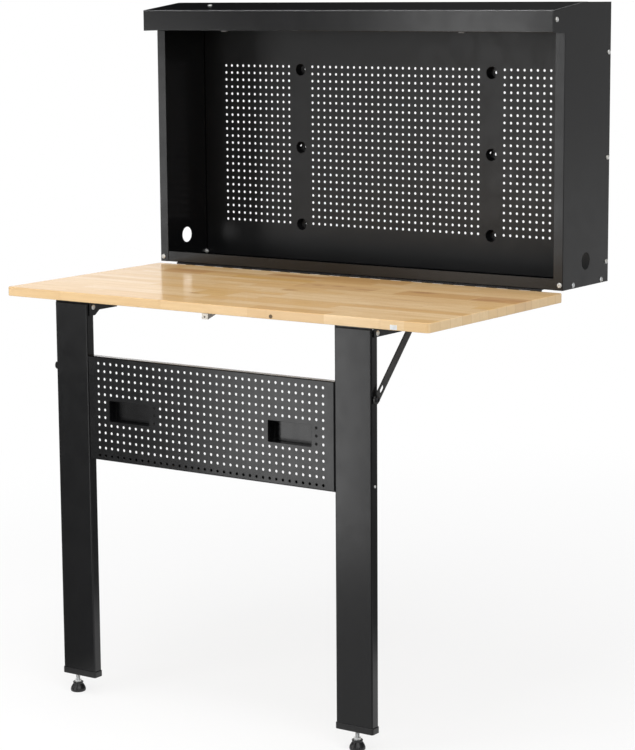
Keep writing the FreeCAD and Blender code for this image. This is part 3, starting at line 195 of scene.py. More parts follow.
class SharedEffects:
    """Shader node groups that several finishes use, each built once."""

    def __init__(self) -> None:
        """Build every group."""
        self.mottle = self._build("Mottle", ("Scale", "Low", "High"), ("Value",), self._mottle)
        self.peel = self._build("Orange Peel", ("Scale", "Depth"), ("Height",), self._peel)
        self.streaks = self._build("Streaks", ("Along", "Across", "Low", "High"), ("Value",), self._streaks)
        self.scuffs = self._build("Scuffs", ("Scale", "Amount"), ("Mask",), self._scuffs)

    def _build(self, name: str, numbers: tuple[str, ...], outputs: tuple[str, ...],
               fill: Callable[[Graph, dict[str, Socket]], tuple[Socket, ...]]) -> bpy.types.NodeTree:
        """Make a group with a Vector input, named numbers and named outputs.

        Args:
            name: the group's name.
            numbers: names of its number inputs.
            outputs: names of its number outputs.
            fill: a function that adds the nodes and gives the sockets for the outputs.

        Returns:
            The node tree.
        """
        tree = bpy.data.node_groups.new(name, "ShaderNodeTree")
        tree.interface.new_socket(name="Vector", in_out="INPUT", socket_type="NodeSocketVector")
        for number in numbers:
            tree.interface.new_socket(name=number, in_out="INPUT", socket_type="NodeSocketFloat")
        for output in outputs:
            tree.interface.new_socket(name=output, in_out="OUTPUT", socket_type="NodeSocketFloat")
        graph = Graph(tree)
        entry = graph.node("NodeGroupInput")
        results = fill(graph, {socket.name: socket for socket in entry.outputs if socket.name})
        graph.node("NodeGroupOutput", dict(zip(outputs, results)))
        return tree

    def clouds(self, graph: Graph, place: Socket, scale: float, low: float, high: float) -> Socket:
        """Place the mottle so that it drifts from low to high."""
        return graph.group(self.mottle, Vector=place, Scale=scale, Low=low, High=high).outputs[0]

    @staticmethod
    def _mottle(graph: Graph, given: dict[str, Socket]) -> tuple[Socket]:
        """Soft clouds between Low and High."""
        cloud = graph.noise(given["Vector"], given["Scale"], 3.0, 0.55)
        return (graph.remap(cloud, 0.3, 0.7, given["Low"], given["High"]),)

    @staticmethod
    def _peel(graph: Graph, given: dict[str, Socket]) -> tuple[Socket]:
        """The fine dimples of a sprayed or moulded skin.

        Args:
            graph: the graph that gets the nodes.
            given: the group's inputs by name.

        Returns:
            The height.
        """
        coarse = graph.noise(given["Vector"], given["Scale"], 1.0, 0.4)
        fine = graph.noise(given["Vector"], graph.math("MULTIPLY", given["Scale"], 3.1), 1.0, 0.4)
        both = graph.math("MULTIPLY_ADD", fine, 0.35, coarse)
        return (graph.math("MULTIPLY", both, given["Depth"]),)

    @staticmethod
    def _streaks(graph: Graph, given: dict[str, Socket]) -> tuple[Socket]:
        """Noise drawn out along X: Along and Across are its scales.

        Args:
            graph: the graph that gets the nodes.
            given: the group's inputs by name.

        Returns:
            The value.
        """
        x, y, z = graph.split(given["Vector"])
        stretched = graph.combine(graph.math("MULTIPLY", x, given["Along"]),
                                  graph.math("MULTIPLY", y, given["Across"]),
                                  graph.math("MULTIPLY", z, given["Across"]))
        lines = graph.noise(stretched, 1.0, 4.0, 0.6)
        return (graph.remap(lines, 0.32, 0.68, given["Low"], given["High"]),)

    @staticmethod
    def _scuffs(graph: Graph, given: dict[str, Socket]) -> tuple[Socket]:
        """Sparse, faint handling marks.

        Args:
            graph: the graph that gets the nodes.
            given: the group's inputs by name.

        Returns:
            The mask.
        """
        patch = graph.noise(given["Vector"], given["Scale"], 2.0, 0.7)
        fine = graph.noise(given["Vector"], graph.math("MULTIPLY", given["Scale"], 9.0), 3.0, 0.8)
        marks = graph.math("MULTIPLY", graph.remap(patch, 0.58, 0.72), graph.remap(fine, 0.52, 0.62))
        return (graph.math("MULTIPLY", marks, given["Amount"]),)


# ---- finishes ----------------------------------------------------------------
class Finish:
    """A material that is built when it is first asked for."""

    name: str = "finish"

    def paint(self, graph: Graph, effects: SharedEffects, place: Socket) -> dict[str, object]:
        """Give the Principled inputs; a finish overrides this."""
        raise NotImplementedError

    def material(self, effects: SharedEffects) -> bpy.types.Material:
        """The material, built once.

        Args:
            effects: the shared node groups.

        Returns:
            Blender's material.
        """
        found = bpy.data.materials.get(self.name)
        if found is not None:
            return found
        made = bpy.data.materials.new(self.name)
        made.use_nodes = True
        made.node_tree.nodes.clear()
        graph = Graph(made.node_tree)
        place = graph.node("ShaderNodeTexCoord").outputs["Object"]
        shader = graph.node("ShaderNodeBsdfPrincipled", self.paint(graph, effects, place))
        graph.node("ShaderNodeOutputMaterial", {"Surface": shader.outputs[0]})
        return made


def rgba(colour: Colour) -> tuple[float, float, float, float]:
    """A linear colour with full alpha."""
    return (*colour, 1.0)


def scaled(colour: Colour, factor: float) -> tuple[float, float, float, float]:
    """A linear colour made darker or lighter."""
    return rgba(tuple(channel * factor for channel in colour))


@dataclass(frozen=True)
class PowderCoat(Finish):
    """Satin powder coat on sheet steel; fold is the radius of its bends, and a painted highlight, pale grey,
    may be laid on the folds that face up.
    """

    name: str = "Black Powder Coat"
    colour: Colour = (0.0030, 0.0031, 0.0035)
    rough_low: float = 0.20
    rough_high: float = 0.25
    peel_scale: float = 520.0
    peel_depth: float = 0.5
    bump: float = 0.10
    fold: float = 0.0012
    fold_highlight: float = 0.0
    fold_highlight_colour: Colour = (0.55, 0.55, 0.56)
    drift: float = 0.14
    drift_scale: float = 7.0
    gloss_scale: float = 24.0
    scuffs: float = 0.015
    scuff_scale: float = 11.0

    def paint(self, graph: Graph, effects: SharedEffects, place: Socket) -> dict[str, object]:
        """Nearly even black with a fine orange peel and a little drift in gloss.

        Args:
            graph: the graph that gets the nodes.
            effects: the shared node groups.
            place: the point's place.

        Returns:
            The inputs of the Principled shader by name.
        """
        shade = effects.clouds(graph, place, self.drift_scale, 0.0, 1.0)
        rough = effects.clouds(graph, place, self.gloss_scale, self.rough_low, self.rough_high)
        scuff = graph.group(effects.scuffs, Vector=place, Scale=self.scuff_scale, Amount=self.scuffs).outputs[0]
        peel = graph.group(effects.peel, Vector=place, Scale=self.peel_scale, Depth=self.peel_depth).outputs[0]
        colour = graph.mix(shade, scaled(self.colour, 1 - self.drift), scaled(self.colour, 1 + self.drift))
        folded = graph.node("ShaderNodeBevel", {"Radius": self.fold}, samples=4).outputs[0]
        # Painted highlight: the folds that face up are lightened towards a pale grey.
        if self.fold_highlight:
            colour = graph.mix(self._painted_fold_highlights(graph, folded), colour, rgba(self.fold_highlight_colour))
        bump = graph.node("ShaderNodeBump", {"Strength": self.bump, "Distance": 0.001, "Height": peel,
                                             "Normal": folded})
        return {"Base Color": colour, "Roughness": graph.math("ADD", rough, scuff), "Normal": bump.outputs[0]}

    def _painted_fold_highlights(self, graph: Graph, folded: Socket) -> Socket:
        """Painted highlight on the folds that face up: it lies where the eased normal leaves the flat one and
        tilts.

        Args:
            graph: the graph that gets the nodes.
            folded: the normal, eased over the folds.

        Returns:
            The mask of the painted highlight, up to its strength.
        """
        flat = graph.node("ShaderNodeNewGeometry").outputs["Normal"]
        turned = graph.node("ShaderNodeVectorMath", {0: flat, 1: folded}, operation="DOT_PRODUCT")
        rise = graph.split(folded)[2]
        upward = graph.math("MULTIPLY", graph.remap(rise, 0.15, 0.35), graph.remap(rise, 0.90, 0.97, 1.0, 0.0))
        bent = graph.remap(turned.outputs["Value"], 0.93, 0.99, 1.0, 0.0)
        return graph.math("MULTIPLY", graph.math("MULTIPLY", bent, upward), self.fold_highlight)


@dataclass(frozen=True)
class ZincPlate(Finish):
    """Bright zinc plate with a faint blue and yellow passivation."""

    name: str = "Zinc Plate"
    cool: Colour = (0.74, 0.76, 0.78)
    warm: Colour = (0.80, 0.78, 0.72)
    rough_low: float = 0.32
    rough_high: float = 0.46
    metallic: float = 0.65
    tint_scale: float = 60.0
    gloss_scale: float = 140.0
    lines: tuple[float, float] = (40.0, 1800.0)

    def paint(self, graph: Graph, effects: SharedEffects, place: Socket) -> dict[str, object]:
        """Drifting tint and gloss, with fine drawing lines.

        Args:
            graph: the graph that gets the nodes.
            effects: the shared node groups.
            place: the point's place.

        Returns:
            The inputs of the Principled shader by name.
        """
        tint = effects.clouds(graph, place, self.tint_scale, 0.0, 1.0)
        rough = effects.clouds(graph, place, self.gloss_scale, self.rough_low, self.rough_high)
        lines = graph.mask(effects.streaks, place, Along=self.lines[0], Across=self.lines[1])
        bump = graph.node("ShaderNodeBump", {"Strength": 0.12, "Distance": 0.0002, "Height": lines})
        return {"Base Color": graph.mix(tint, rgba(self.cool), rgba(self.warm)), "Metallic": self.metallic,
                "Roughness": rough, "Normal": bump.outputs[0]}


@dataclass(frozen=True)
class Blackened(Finish):
    """Blackened steel bolt."""

    name: str = "Blackened Steel"
    colour: Colour = (0.022, 0.022, 0.024)
    bare: Colour = (0.16, 0.16, 0.17)
    rough_low: float = 0.26
    rough_high: float = 0.42
    gloss_scale: float = 160.0
    wear_scale: float = 90.0
    wear: float = 0.6
    metallic: float = 0.5

    def paint(self, graph: Graph, effects: SharedEffects, place: Socket) -> dict[str, object]:
        """Oily black that shows a little steel where it was turned.

        Args:
            graph: the graph that gets the nodes.
            effects: the shared node groups.
            place: the point's place.

        Returns:
            The inputs of the Principled shader by name.
        """
        worn = graph.group(effects.scuffs, Vector=place, Scale=self.wear_scale, Amount=self.wear).outputs[0]
        rough = effects.clouds(graph, place, self.gloss_scale, self.rough_low, self.rough_high)
        colour = graph.mix(worn, rgba(self.colour), rgba(self.bare))
        return {"Base Color": colour, "Metallic": self.metallic, "Roughness": rough}


@dataclass(frozen=True)
class Moulded(Finish):
    """Injection moulded black plastic, or rubber when it is rougher."""

    name: str = "Moulded Black Plastic"
    colour: Colour = (0.009, 0.009, 0.0095)
    rough_low: float = 0.31
    rough_high: float = 0.42
    gloss_scale: float = 90.0
    shade_scale: float = 45.0

    def paint(self, graph: Graph, effects: SharedEffects, place: Socket) -> dict[str, object]:
        """Spark eroded texture with softly varying gloss.

        Args:
            graph: the graph that gets the nodes.
            effects: the shared node groups.
            place: the point's place.

        Returns:
            The inputs of the Principled shader by name.
        """
        rough = effects.clouds(graph, place, self.gloss_scale, self.rough_low, self.rough_high)
        shade = effects.clouds(graph, place, self.shade_scale, 0.0, 1.0)
        peel = graph.group(effects.peel, Vector=place, Scale=1500.0, Depth=0.6).outputs[0]
        bump = graph.node("ShaderNodeBump", {"Strength": 0.22, "Distance": 0.0003, "Height": peel})
        colour = graph.mix(shade, scaled(self.colour, 0.8), scaled(self.colour, 1.25))
        return {"Base Color": colour, "Roughness": rough, "Normal": bump.outputs[0]}


@dataclass(frozen=True)
class Knot:
    """A small knot or a dark heartwood streak in the tabletop."""

    x: float
    y: float
    along: float
    across: float
    depth: float


@dataclass(frozen=True)
class Figure:
    """Tan streaks in the wood: their scales along and across the grain, and their share."""

    along: float
    across: float
    share: float


@dataclass(frozen=True)
class Block:
    """A block of the tabletop whose tone stands out: its ends in X and its sides in Y, in metres."""

    start: float
    end: float
    front: float
    back: float
    tone: Colour
    share: float


PALE_WOOD: Colour = (0.780, 0.590, 0.350)
STRAW_WOOD: Colour = (0.690, 0.450, 0.195)
TAN_WOOD: Colour = (0.520, 0.285, 0.095)
GOLDEN_WOOD: Colour = (0.600, 0.355, 0.085)
RUSSET_WOOD: Colour = (0.400, 0.165, 0.045)


@dataclass(frozen=True)
class Laminate(Finish):
    """Lacquered hardwood glued up from finger jointed staves that run along X."""

    name: str = "Lacquered Hardwood"
    seams: tuple[float, ...] = (-0.779, -0.736, -0.686, -0.648, -0.611, -0.573, -0.533, -0.494, -0.4555, -0.407,
                                -0.378, -0.340, -0.3025, -0.266)
    pale: Colour = PALE_WOOD
    straw: Colour = STRAW_WOOD
    tan: Colour = TAN_WOOD
    heart: Colour = (0.330, 0.150, 0.055)
    figure: Figure = Figure(3.5, 42.0, 0.30)
    cloud: Figure = Figure(14.0, 75.0, 0.24)
    fibre: Figure = Figure(14.0, 620.0, 0.20)
    pore: Figure = Figure(130.0, 1500.0, 0.35)
    ring_share: float = 0.12
    ring_rate: float = 1150.0
    shortest: float = 0.20
    spread: float = 0.20
    finger: float = 0.0022
    finger_slope: float = 3.2
    glue_line: tuple[float, float] = (0.0002, 0.0009)
    coat: float = 0.35
    coat_rough: float = 0.15
    end_grain_and_light_share: float = 0.60
    front_grain_and_light_share: float = 0.30
    glue_share: float = 0.35
    blocks: tuple[Block, ...] = (
        Block(-0.205, -0.046, -0.3025, -0.266, RUSSET_WOOD, 0.60),
        Block(-0.046, 0.200, -0.3025, -0.236, TAN_WOOD, 0.80),
        Block(-0.500, 0.135, -0.340, -0.3025, TAN_WOOD, 0.55),
        Block(0.135, 0.245, -0.340, -0.3025, PALE_WOOD, 0.60),
        Block(-0.260, -0.020, -0.378, -0.340, GOLDEN_WOOD, 0.75),
        Block(-0.020, 0.200, -0.4555, -0.378, RUSSET_WOOD, 0.30),
        Block(0.270, 0.475, -0.4555, -0.378, TAN_WOOD, 0.75),
        Block(0.478, 0.620, -0.4555, -0.378, RUSSET_WOOD, 0.62),
        Block(0.395, 0.455, -0.378, -0.340, PALE_WOOD, 0.90),
        Block(0.250, 0.620, -0.648, -0.573, PALE_WOOD, 0.70),
        Block(0.300, 0.620, -0.686, -0.648, TAN_WOOD, 0.30),
        Block(0.120, 0.330, -0.830, -0.779, TAN_WOOD, 0.45),
        Block(0.330, 0.540, -0.830, -0.779, PALE_WOOD, 0.70),
        Block(-0.150, -0.050, -0.686, -0.611, GOLDEN_WOOD, 0.55),
        Block(-0.130, 0.000, -0.533, -0.494, PALE_WOOD, 0.80),
        Block(-0.490, -0.360, -0.378, -0.3025, RUSSET_WOOD, 0.45),
        Block(-0.450, -0.270, -0.4555, -0.407, PALE_WOOD, 0.50),
        Block(-0.100, 0.100, -0.779, -0.736, PALE_WOOD, 0.60),
    )
    knots: tuple[Knot, ...] = (
        Knot(-0.142, -0.680, 0.022, 0.0110, 0.75),
        Knot(0.026, -0.407, 0.022, 0.0120, 0.50),
        Knot(0.083, -0.402, 0.026, 0.0110, 0.50),
        Knot(0.170, -0.420, 0.040, 0.0090, 0.50),
        Knot(0.322, -0.395, 0.042, 0.0140, 0.60),
        Knot(0.520, -0.430, 0.052, 0.0200, 0.60),
        Knot(0.590, -0.410, 0.040, 0.0120, 0.40),
        Knot(0.018, -0.515, 0.030, 0.0160, 0.45),
        Knot(0.360, -0.533, 0.110, 0.0080, 0.30),
        Knot(0.420, -0.641, 0.180, 0.0060, 0.35),
        Knot(-0.120, -0.290, 0.080, 0.0140, 0.45),
        Knot(-0.430, -0.330, 0.070, 0.0100, 0.45),
        Knot(-0.480, -0.560, 0.120, 0.0090, 0.30),
    )

    def _staves(self, graph: Graph, place: Socket) -> tuple[Socket, Socket, Socket]:
        """Work out which block of which stave a point is in.

        The stave number is the count of seams in front of Y.  The block number is the floor of X
        over a length that differs by stave, shifted by a zigzag of Z, which draws the finger
        joints on the edges.

        Args:
            graph: the graph that gets the nodes.
            place: the point's place.

        Returns:
            A random colour and a random value of the block, and a mask of its glue lines.
        """
        x, y, z = graph.split(place)
        stave, gap = 0.0, 1.0
        for seam in self.seams:
            offset = graph.math("SUBTRACT", y, seam)
            stave = graph.math("ADD", stave, graph.math("GREATER_THAN", offset, 0.0))
            gap = graph.math("MINIMUM", gap, graph.math("ABSOLUTE", offset))
        chance = graph.random(graph.combine(stave, 3.7, 1.3)).outputs["Value"]
        length = graph.math("MULTIPLY_ADD", chance, self.spread, self.shortest)
        fingers = graph.math("MULTIPLY", graph.math("PINGPONG", z, self.finger), self.finger_slope)
        shifted = graph.math("ADD", graph.math("MULTIPLY_ADD", chance, 9.0, x), fingers)
        run = graph.math("DIVIDE", shifted, length)
        dice = graph.random(graph.combine(stave, graph.math("FLOOR", run), 0.5))
        butt = graph.math("MULTIPLY", graph.math("PINGPONG", run, 0.5), length)
        line = graph.math("MINIMUM", gap, butt)
        return dice.outputs["Color"], dice.outputs["Value"], graph.remap(line, *self.glue_line, 1.0, 0.0)

    def _rings(self, graph: Graph, place: Socket, dice: Socket) -> Socket:
        """Growth rings about a pith that lies outside each block and wanders along it.

        Ring number is the distance from the pith over the ring spacing; its sine gives the tone.

        Args:
            graph: the graph that gets the nodes.
            place: the point's place.
            dice: the block's random colour.

        Returns:
            The tone, from 0 to 1.
        """
        x, y, z = graph.split(place)
        red, green, blue = graph.split(dice)
        drift = graph.noise(graph.combine(graph.math("MULTIPLY", x, 2.2), red, blue), 1.0, 2.0, 0.5)
        pith_y = graph.math("MULTIPLY_ADD", red, 0.16, -0.60)
        pith_z = graph.math("MULTIPLY_ADD", green, 0.10, -0.46)
        dy = graph.math("ADD", graph.math("SUBTRACT", y, pith_y), graph.math("MULTIPLY", drift, 0.030))
        dz = graph.math("ADD", graph.math("SUBTRACT", z, pith_z), graph.math("MULTIPLY", drift, 0.018))
        reach = graph.math("SQRT", graph.square_sum(dy, dz))
        waves = graph.math("SINE", graph.math("MULTIPLY", reach, self.ring_rate))
        return graph.math("MULTIPLY_ADD", waves, 0.5, 0.5)

    def _block_mask(self, graph: Graph, place: Socket, block: Block) -> Socket:
        """The block's share where X and Y are within its ends and sides, and nothing elsewhere.

        Args:
            graph: the graph that gets the nodes.
            place: the point's place.
            block: the block.

        Returns:
            The mask.
        """
        x, y, _ = graph.split(place)
        along = graph.math("COMPARE", x, (block.start + block.end) / 2, (block.end - block.start) / 2)
        across = graph.math("COMPARE", y, (block.front + block.back) / 2, (block.back - block.front) / 2)
        return graph.math("MULTIPLY", graph.math("MULTIPLY", along, across), block.share)

    def _knot_mask(self, graph: Graph, place: Socket, knot: Knot) -> Socket:
        """A soft ellipse round a knot, broken up by the grain.

        Args:
            graph: the graph that gets the nodes.
            place: the point's place.
            knot: the knot.

        Returns:
            The mask.
        """
        x, y, _ = graph.split(place)
        u = graph.math("DIVIDE", graph.math("SUBTRACT", x, knot.x), knot.along)
        v = graph.math("DIVIDE", graph.math("SUBTRACT", y, knot.y), knot.across)
        drawn = graph.combine(graph.math("MULTIPLY", x, 9.0), graph.math("MULTIPLY", y, 40.0), 0.0)
        v = graph.math("ADD", v, graph.math("MULTIPLY_ADD", graph.noise(drawn, 1.0), 2.0, -1.0))
        return graph.remap(graph.square_sum(u, v), 0.05, 1.0, knot.depth, 0.0)

    def _lay(self, graph: Graph, mask: Socket, share: float, tone: Socket, over: Colour) -> Socket:
        """Lay a colour over a tone where a mask is one, by a share."""
        return graph.mix(graph.math("MULTIPLY", mask, share), tone, rgba(over))

    def _streaks(self, graph: Graph, effects: SharedEffects, own: Socket, figure: Figure) -> Socket:
        """The mask of one figure of streaks."""
        return graph.mask(effects.streaks, own, Along=figure.along, Across=figure.across)

    def _hearts(self, graph: Graph, place: Socket, fibres: Socket) -> Socket:
        """The mask of all the knots, with the fibres showing in it.

        Args:
            graph: the graph that gets the nodes.
            place: the point's place.
            fibres: the mask of the fibres.

        Returns:
            The mask.
        """
        heart = self._knot_mask(graph, place, self.knots[0])
        for knot in self.knots[1:]:
            heart = graph.math("MAXIMUM", heart, self._knot_mask(graph, place, knot))
        return graph.math("MULTIPLY", heart, graph.math("MULTIPLY_ADD", fibres, 0.6, 0.55))

    def paint(self, graph: Graph, effects: SharedEffects, place: Socket) -> dict[str, object]:
        """Blocks of different tone, rings, fibre streaks, pores and knots under a clear coat.

        Args:
            graph: the graph that gets the nodes.
            effects: the shared node groups.
            place: the point's place.

        Returns:
            The inputs of the Principled shader by name.
        """
        dice, chance, glue = self._staves(graph, place)
        own = graph.vector("ADD", place, graph.vector("MULTIPLY", dice, (3.0, 0.7, 0.9)))
        tone = graph.mix(chance, rgba(self.straw), rgba(self.pale))
        for block in self.blocks:
            tone = graph.mix(self._block_mask(graph, place, block), tone, rgba(block.tone))
        for figure in (self.figure, self.cloud):
            tone = self._lay(graph, self._streaks(graph, effects, own, figure), figure.share, tone, self.tan)
        tone = self._lay(graph, self._rings(graph, place, dice), self.ring_share, tone, self.tan)
        fibres = self._streaks(graph, effects, own, self.fibre)
        tone = self._lay(graph, fibres, self.fibre.share, tone, self.tan)
        pores = graph.remap(self._streaks(graph, effects, own, self.pore), 0.82, 0.97)
        tone = self._lay(graph, pores, self.pore.share, tone, self.tan)
        tone = graph.mix(self._hearts(graph, place, fibres), tone, rgba(self.heart))
        # Sides that face along X or Y are laid paler: partly the paler grain of the edges, partly painted
        # light, the brighter lit and sheened sides.
        facing = graph.split(graph.node("ShaderNodeTexCoord").outputs["Normal"])
        for axis, share in ((0, self.end_grain_and_light_share), (1, self.front_grain_and_light_share)):
            face = graph.remap(graph.math("ABSOLUTE", facing[axis]), 0.5, 0.9)
            tone = self._lay(graph, face, share, tone, self.pale)
        tone = self._lay(graph, glue, self.glue_share, tone, self.heart)
        relief = graph.math("MULTIPLY_ADD", pores, -0.5, graph.math("MULTIPLY_ADD", glue, -0.8, fibres))
        bump = graph.node("ShaderNodeBump", {"Strength": 0.10, "Distance": 0.0003, "Height": relief})
        rough = graph.math("MULTIPLY_ADD", pores, 0.12, graph.math("MULTIPLY_ADD", fibres, 0.06, 0.46))
        return {"Base Color": tone, "Roughness": rough, "Normal": bump.outputs[0],
                "Coat Weight": self.coat, "Coat Roughness": self.coat_rough}


@dataclass(frozen=True)
class Finishes:
    """Every finish of the bench."""

    coat: PowderCoat = PowderCoat()
    board_coat: PowderCoat = PowderCoat("Black Textured Coat", rough_low=0.36, rough_high=0.42, bump=0.14)
    cup_coat: PowderCoat = PowderCoat("Black Cup Coat", fold=0.004)
    folded_coat: PowderCoat = PowderCoat("Black Coat Round Folds", fold=0.003)
    # The fascia's coat, with a painted highlight on its upward folds.
    painted_highlight_coat: PowderCoat = PowderCoat("Black Coat Painted Highlights", fold=0.003, fold_highlight=0.7)
    stay_coat: PowderCoat = PowderCoat("Black Stay Coat", (0.0290, 0.0288, 0.0280), 0.30, 0.36, fold=0.0002)
    zinc: ZincPlate = ZincPlate()
    bare_plate: ZincPlate = ZincPlate("Yellowed Zinc Plate", (0.44, 0.42, 0.39), (0.52, 0.48, 0.42),
                                      0.24, 0.34, 1.0)
    spring: ZincPlate = ZincPlate("Dull Spring Steel", (0.20, 0.20, 0.21), (0.24, 0.23, 0.21), 0.42, 0.55)
    black_bolt: Blackened = Blackened()
    plastic: Moulded = Moulded()
    rubber: Moulded = Moulded("Brown Rubber", (0.110, 0.075, 0.040), 0.62, 0.78)
    wood: Laminate = Laminate()


# ---- surfaces ----------------------------------------------------------------
@dataclass(frozen=True)
class Surface:
    """A closed surface: points, four sided faces and three sided faces."""

    points: np.ndarray
    quads: np.ndarray
    triangles: np.ndarray

    def placed(self, frames: np.ndarray) -> "Surface":
        """Copies of the surface carried by frames.

        A point p goes to R p + t for each frame [R | t], all as one array product.

        Args:
            frames: an array of 3 by 4 matrices.

        Returns:
            One surface that holds every copy.
        """
        moved = np.einsum("kij,nj->kni", frames[:, :, :3], self.points) + frames[:, None, :, 3]
        count = len(self.points)
        steps = np.arange(len(frames))[:, None, None] * count
        return Surface(moved.reshape(-1, 3), (self.quads[None] + steps).reshape(-1, 4),
                       (self.triangles[None] + steps).reshape(-1, 3))


def joined(surfaces: Iterable[Surface]) -> Surface:
    """One surface from several, with their faces renumbered.

    Args:
        surfaces: the surfaces.

    Returns:
        One surface.
    """
    surfaces = list(surfaces)
    starts = np.cumsum([0] + [len(surface.points) for surface in surfaces[:-1]])
    return Surface(np.vstack([surface.points for surface in surfaces]),
                   np.vstack([surface.quads + start for surface, start in zip(surfaces, starts)]),
                   np.vstack([surface.triangles + start for surface, start in zip(surfaces, starts)]))


def lathe(radius: np.ndarray, height: np.ndarray, steps: int,
          shape: Callable[[np.ndarray, np.ndarray, np.ndarray], Grids] | None = None) -> Surface:
    """A profile turned about Z and closed by a pole at each end.

    A point is (r cos a, r sin a, h) for the profile's radius r and height h and the angle a.
    The shape function may bend r and h as a function of a, for a drive recess, a hexagon or a thread.

    Args:
        radius: profile radii between the poles, in metres.
        height: profile heights; its first and last values also place the poles.
        steps: points round a turn.
        shape: gives new radii and heights from the grids of angle, radius and height.

    Returns:
        The surface, with its faces pointing outwards when the profile runs upwards outside.
    """
    angle, r = np.meshgrid(np.arange(steps) * 2 * math.pi / steps, radius)
    h = np.repeat(height[:, None], steps, axis=1)
    if shape is not None:
        r, h = shape(angle, r, h)
    rings = np.stack([r * np.cos(angle), r * np.sin(angle), h], axis=-1).reshape(-1, 3)
    rows = len(radius)
    poles = np.array([[0.0, 0.0, h[0].mean()], [0.0, 0.0, h[-1].mean()]])
    index = np.arange(rows * steps).reshape(rows, steps)
    turned = np.roll(index, -1, axis=1)
    quads = np.stack([index[:-1], turned[:-1], turned[1:], index[1:]], axis=-1).reshape(-1, 4)
    low = np.stack([np.full(steps, rows * steps), turned[0], index[0]], axis=-1)
    high = np.stack([np.full(steps, rows * steps + 1), index[-1], turned[-1]], axis=-1)
    return Surface(np.vstack([rings, poles]), quads, np.vstack([low, high]))


def frames_to(places: np.ndarray, directions: np.ndarray) -> np.ndarray:
    """Frames that carry +Z to a direction at each place.

    Each frame's columns are two unit vectors square to the direction, the direction and the place.

    Args:
        places: where the copies stand.
        directions: where +Z goes at each place.

    Returns:
        An array of 3 by 4 matrices.
    """
    z = directions / np.linalg.norm(directions, axis=1, keepdims=True)
    helper = np.where(np.abs(z[:, 2:3]) > 0.9, np.array([[1.0, 0.0, 0.0]]), np.array([[0.0, 0.0, 1.0]]))
    x = np.cross(helper, z)
    x /= np.linalg.norm(x, axis=1, keepdims=True)
    return np.stack([x, np.cross(z, x), z, places], axis=-1)


def hexagon_radius(angle: np.ndarray, flats: float) -> np.ndarray:
    """Radius of a regular hexagon at an angle: half the flats over the cosine to the nearest flat."""
    turn = np.mod(angle + math.pi / 6, math.pi / 3) - math.pi / 6
    return flats / 2 / np.cos(turn)


def smooth_step(value: np.ndarray, low: float, high: float) -> np.ndarray:
    """0 below low, 1 above high and a smooth cubic between."""
    t = np.clip((value - low) / (high - low), 0.0, 1.0)
    return t * t * (3 - 2 * t)


def eased(points: Points, ease: float, steps: int = 3) -> Grids:
    """A profile with its corners rounded.

    Each corner is replaced by points of a quadratic Bezier arc whose ends lie at a distance ease
    from it along its two runs, or at a third of a shorter run.

    Args:
        points: radius and height of each corner.
        ease: distance from a corner to its arc's ends.
        steps: points on each arc.

    Returns:
        Radii and heights.
    """
    corners = np.array(points, float)
    before = corners[:-2] - corners[1:-1]
    after = corners[2:] - corners[1:-1]
    length_before = np.linalg.norm(before, axis=1, keepdims=True)
    length_after = np.linalg.norm(after, axis=1, keepdims=True)
    start = corners[1:-1] + before * np.minimum(ease / length_before, 1 / 3)
    end = corners[1:-1] + after * np.minimum(ease / length_after, 1 / 3)
    t = np.linspace(0.0, 1.0, steps)[None, :, None]
    arcs = (1 - t) ** 2 * start[:, None] + 2 * t * (1 - t) * corners[1:-1][:, None] + t ** 2 * end[:, None]
    line = np.vstack([corners[:1], arcs.reshape(-1, 2), corners[-1:]])
    return line[:, 0], line[:, 1]


# ---- fasteners ---------------------------------------------------------------
@dataclass(frozen=True)
class ScrewKind:
    """Sizes of one kind of screw, in millimetres."""

    head_radius: float
    head_height: float
    shank_radius: float
    shank_length: float
    drive: Drive = Drive.CROSS
    steps: int = 48

    def surface(self) -> Surface:
        """The screw about +Z: its seat lies at zero, the head above and the shank below.

        The head is a dome whose height falls with the fourth power of the radius.  The recess
        takes its depth from the head where the drive's mask is one.

        Returns:
            The closed surface.
        """
        head, rise, shank, length = (value * MM for value in (self.head_radius, self.head_height,
                                                              self.shank_radius, self.shank_length))
        flank = [(shank * 0.35, -length), (shank * 0.80, -length), (shank, -length + 0.25 * MM)]
        turns = max(int(length / (1.0 * MM)), 1)
        level = np.linspace(-length + 0.4 * MM, -0.3 * MM, 2 * turns + 1)
        ridge = np.where(np.arange(len(level)) % 2 == 0, shank, shank * 0.86)
        shares = np.array([0.97, 0.90, 0.80, 0.70, 0.60, 0.52, 0.44, 0.36, 0.28, 0.20, 0.12, 0.05])
        dome = rise * (1 - 0.42 * shares ** 4)
        radius = np.concatenate([[r for r, _ in flank], ridge, [shank, head * 0.97, head, head], head * shares])
        height = np.concatenate([[h for _, h in flank], level, [0.0, 0.0, 0.08 * rise, 0.40 * rise], dome])
        height[-len(shares)] = 0.52 * rise
        return lathe(radius, height, self.steps, self._recess)

    def _recess(self, angle: np.ndarray, radius: np.ndarray, height: np.ndarray) -> Grids:
        """Sink the drive into the dome.

        A cross is two crossed bars whose ends taper; a hexagon is a level socket.

        Args:
            angle: each point's angle.
            radius: each point's radius.
            height: each point's height.

        Returns:
            The radii and the sunk heights.
        """
        head, rise = self.head_radius * MM, self.head_height * MM
        on_dome = height > 0.55 * rise
        if self.drive is Drive.HEXAGON:
            mask = smooth_step(hexagon_radius(angle, head * 0.95) - radius, 0.0, head * 0.06)
        else:
            x, y = np.abs(radius * np.cos(angle)), np.abs(radius * np.sin(angle))
            arm = np.minimum(x, y)
            along = np.maximum(x, y)
            beside = smooth_step(arm, head * 0.08, head * 0.15)
            beyond = smooth_step(along, head * 0.36, head * 0.60)
            mask = (1 - beside) * (1 - beyond)
        return radius, np.where(on_dome, height - mask * rise * 0.55, height)


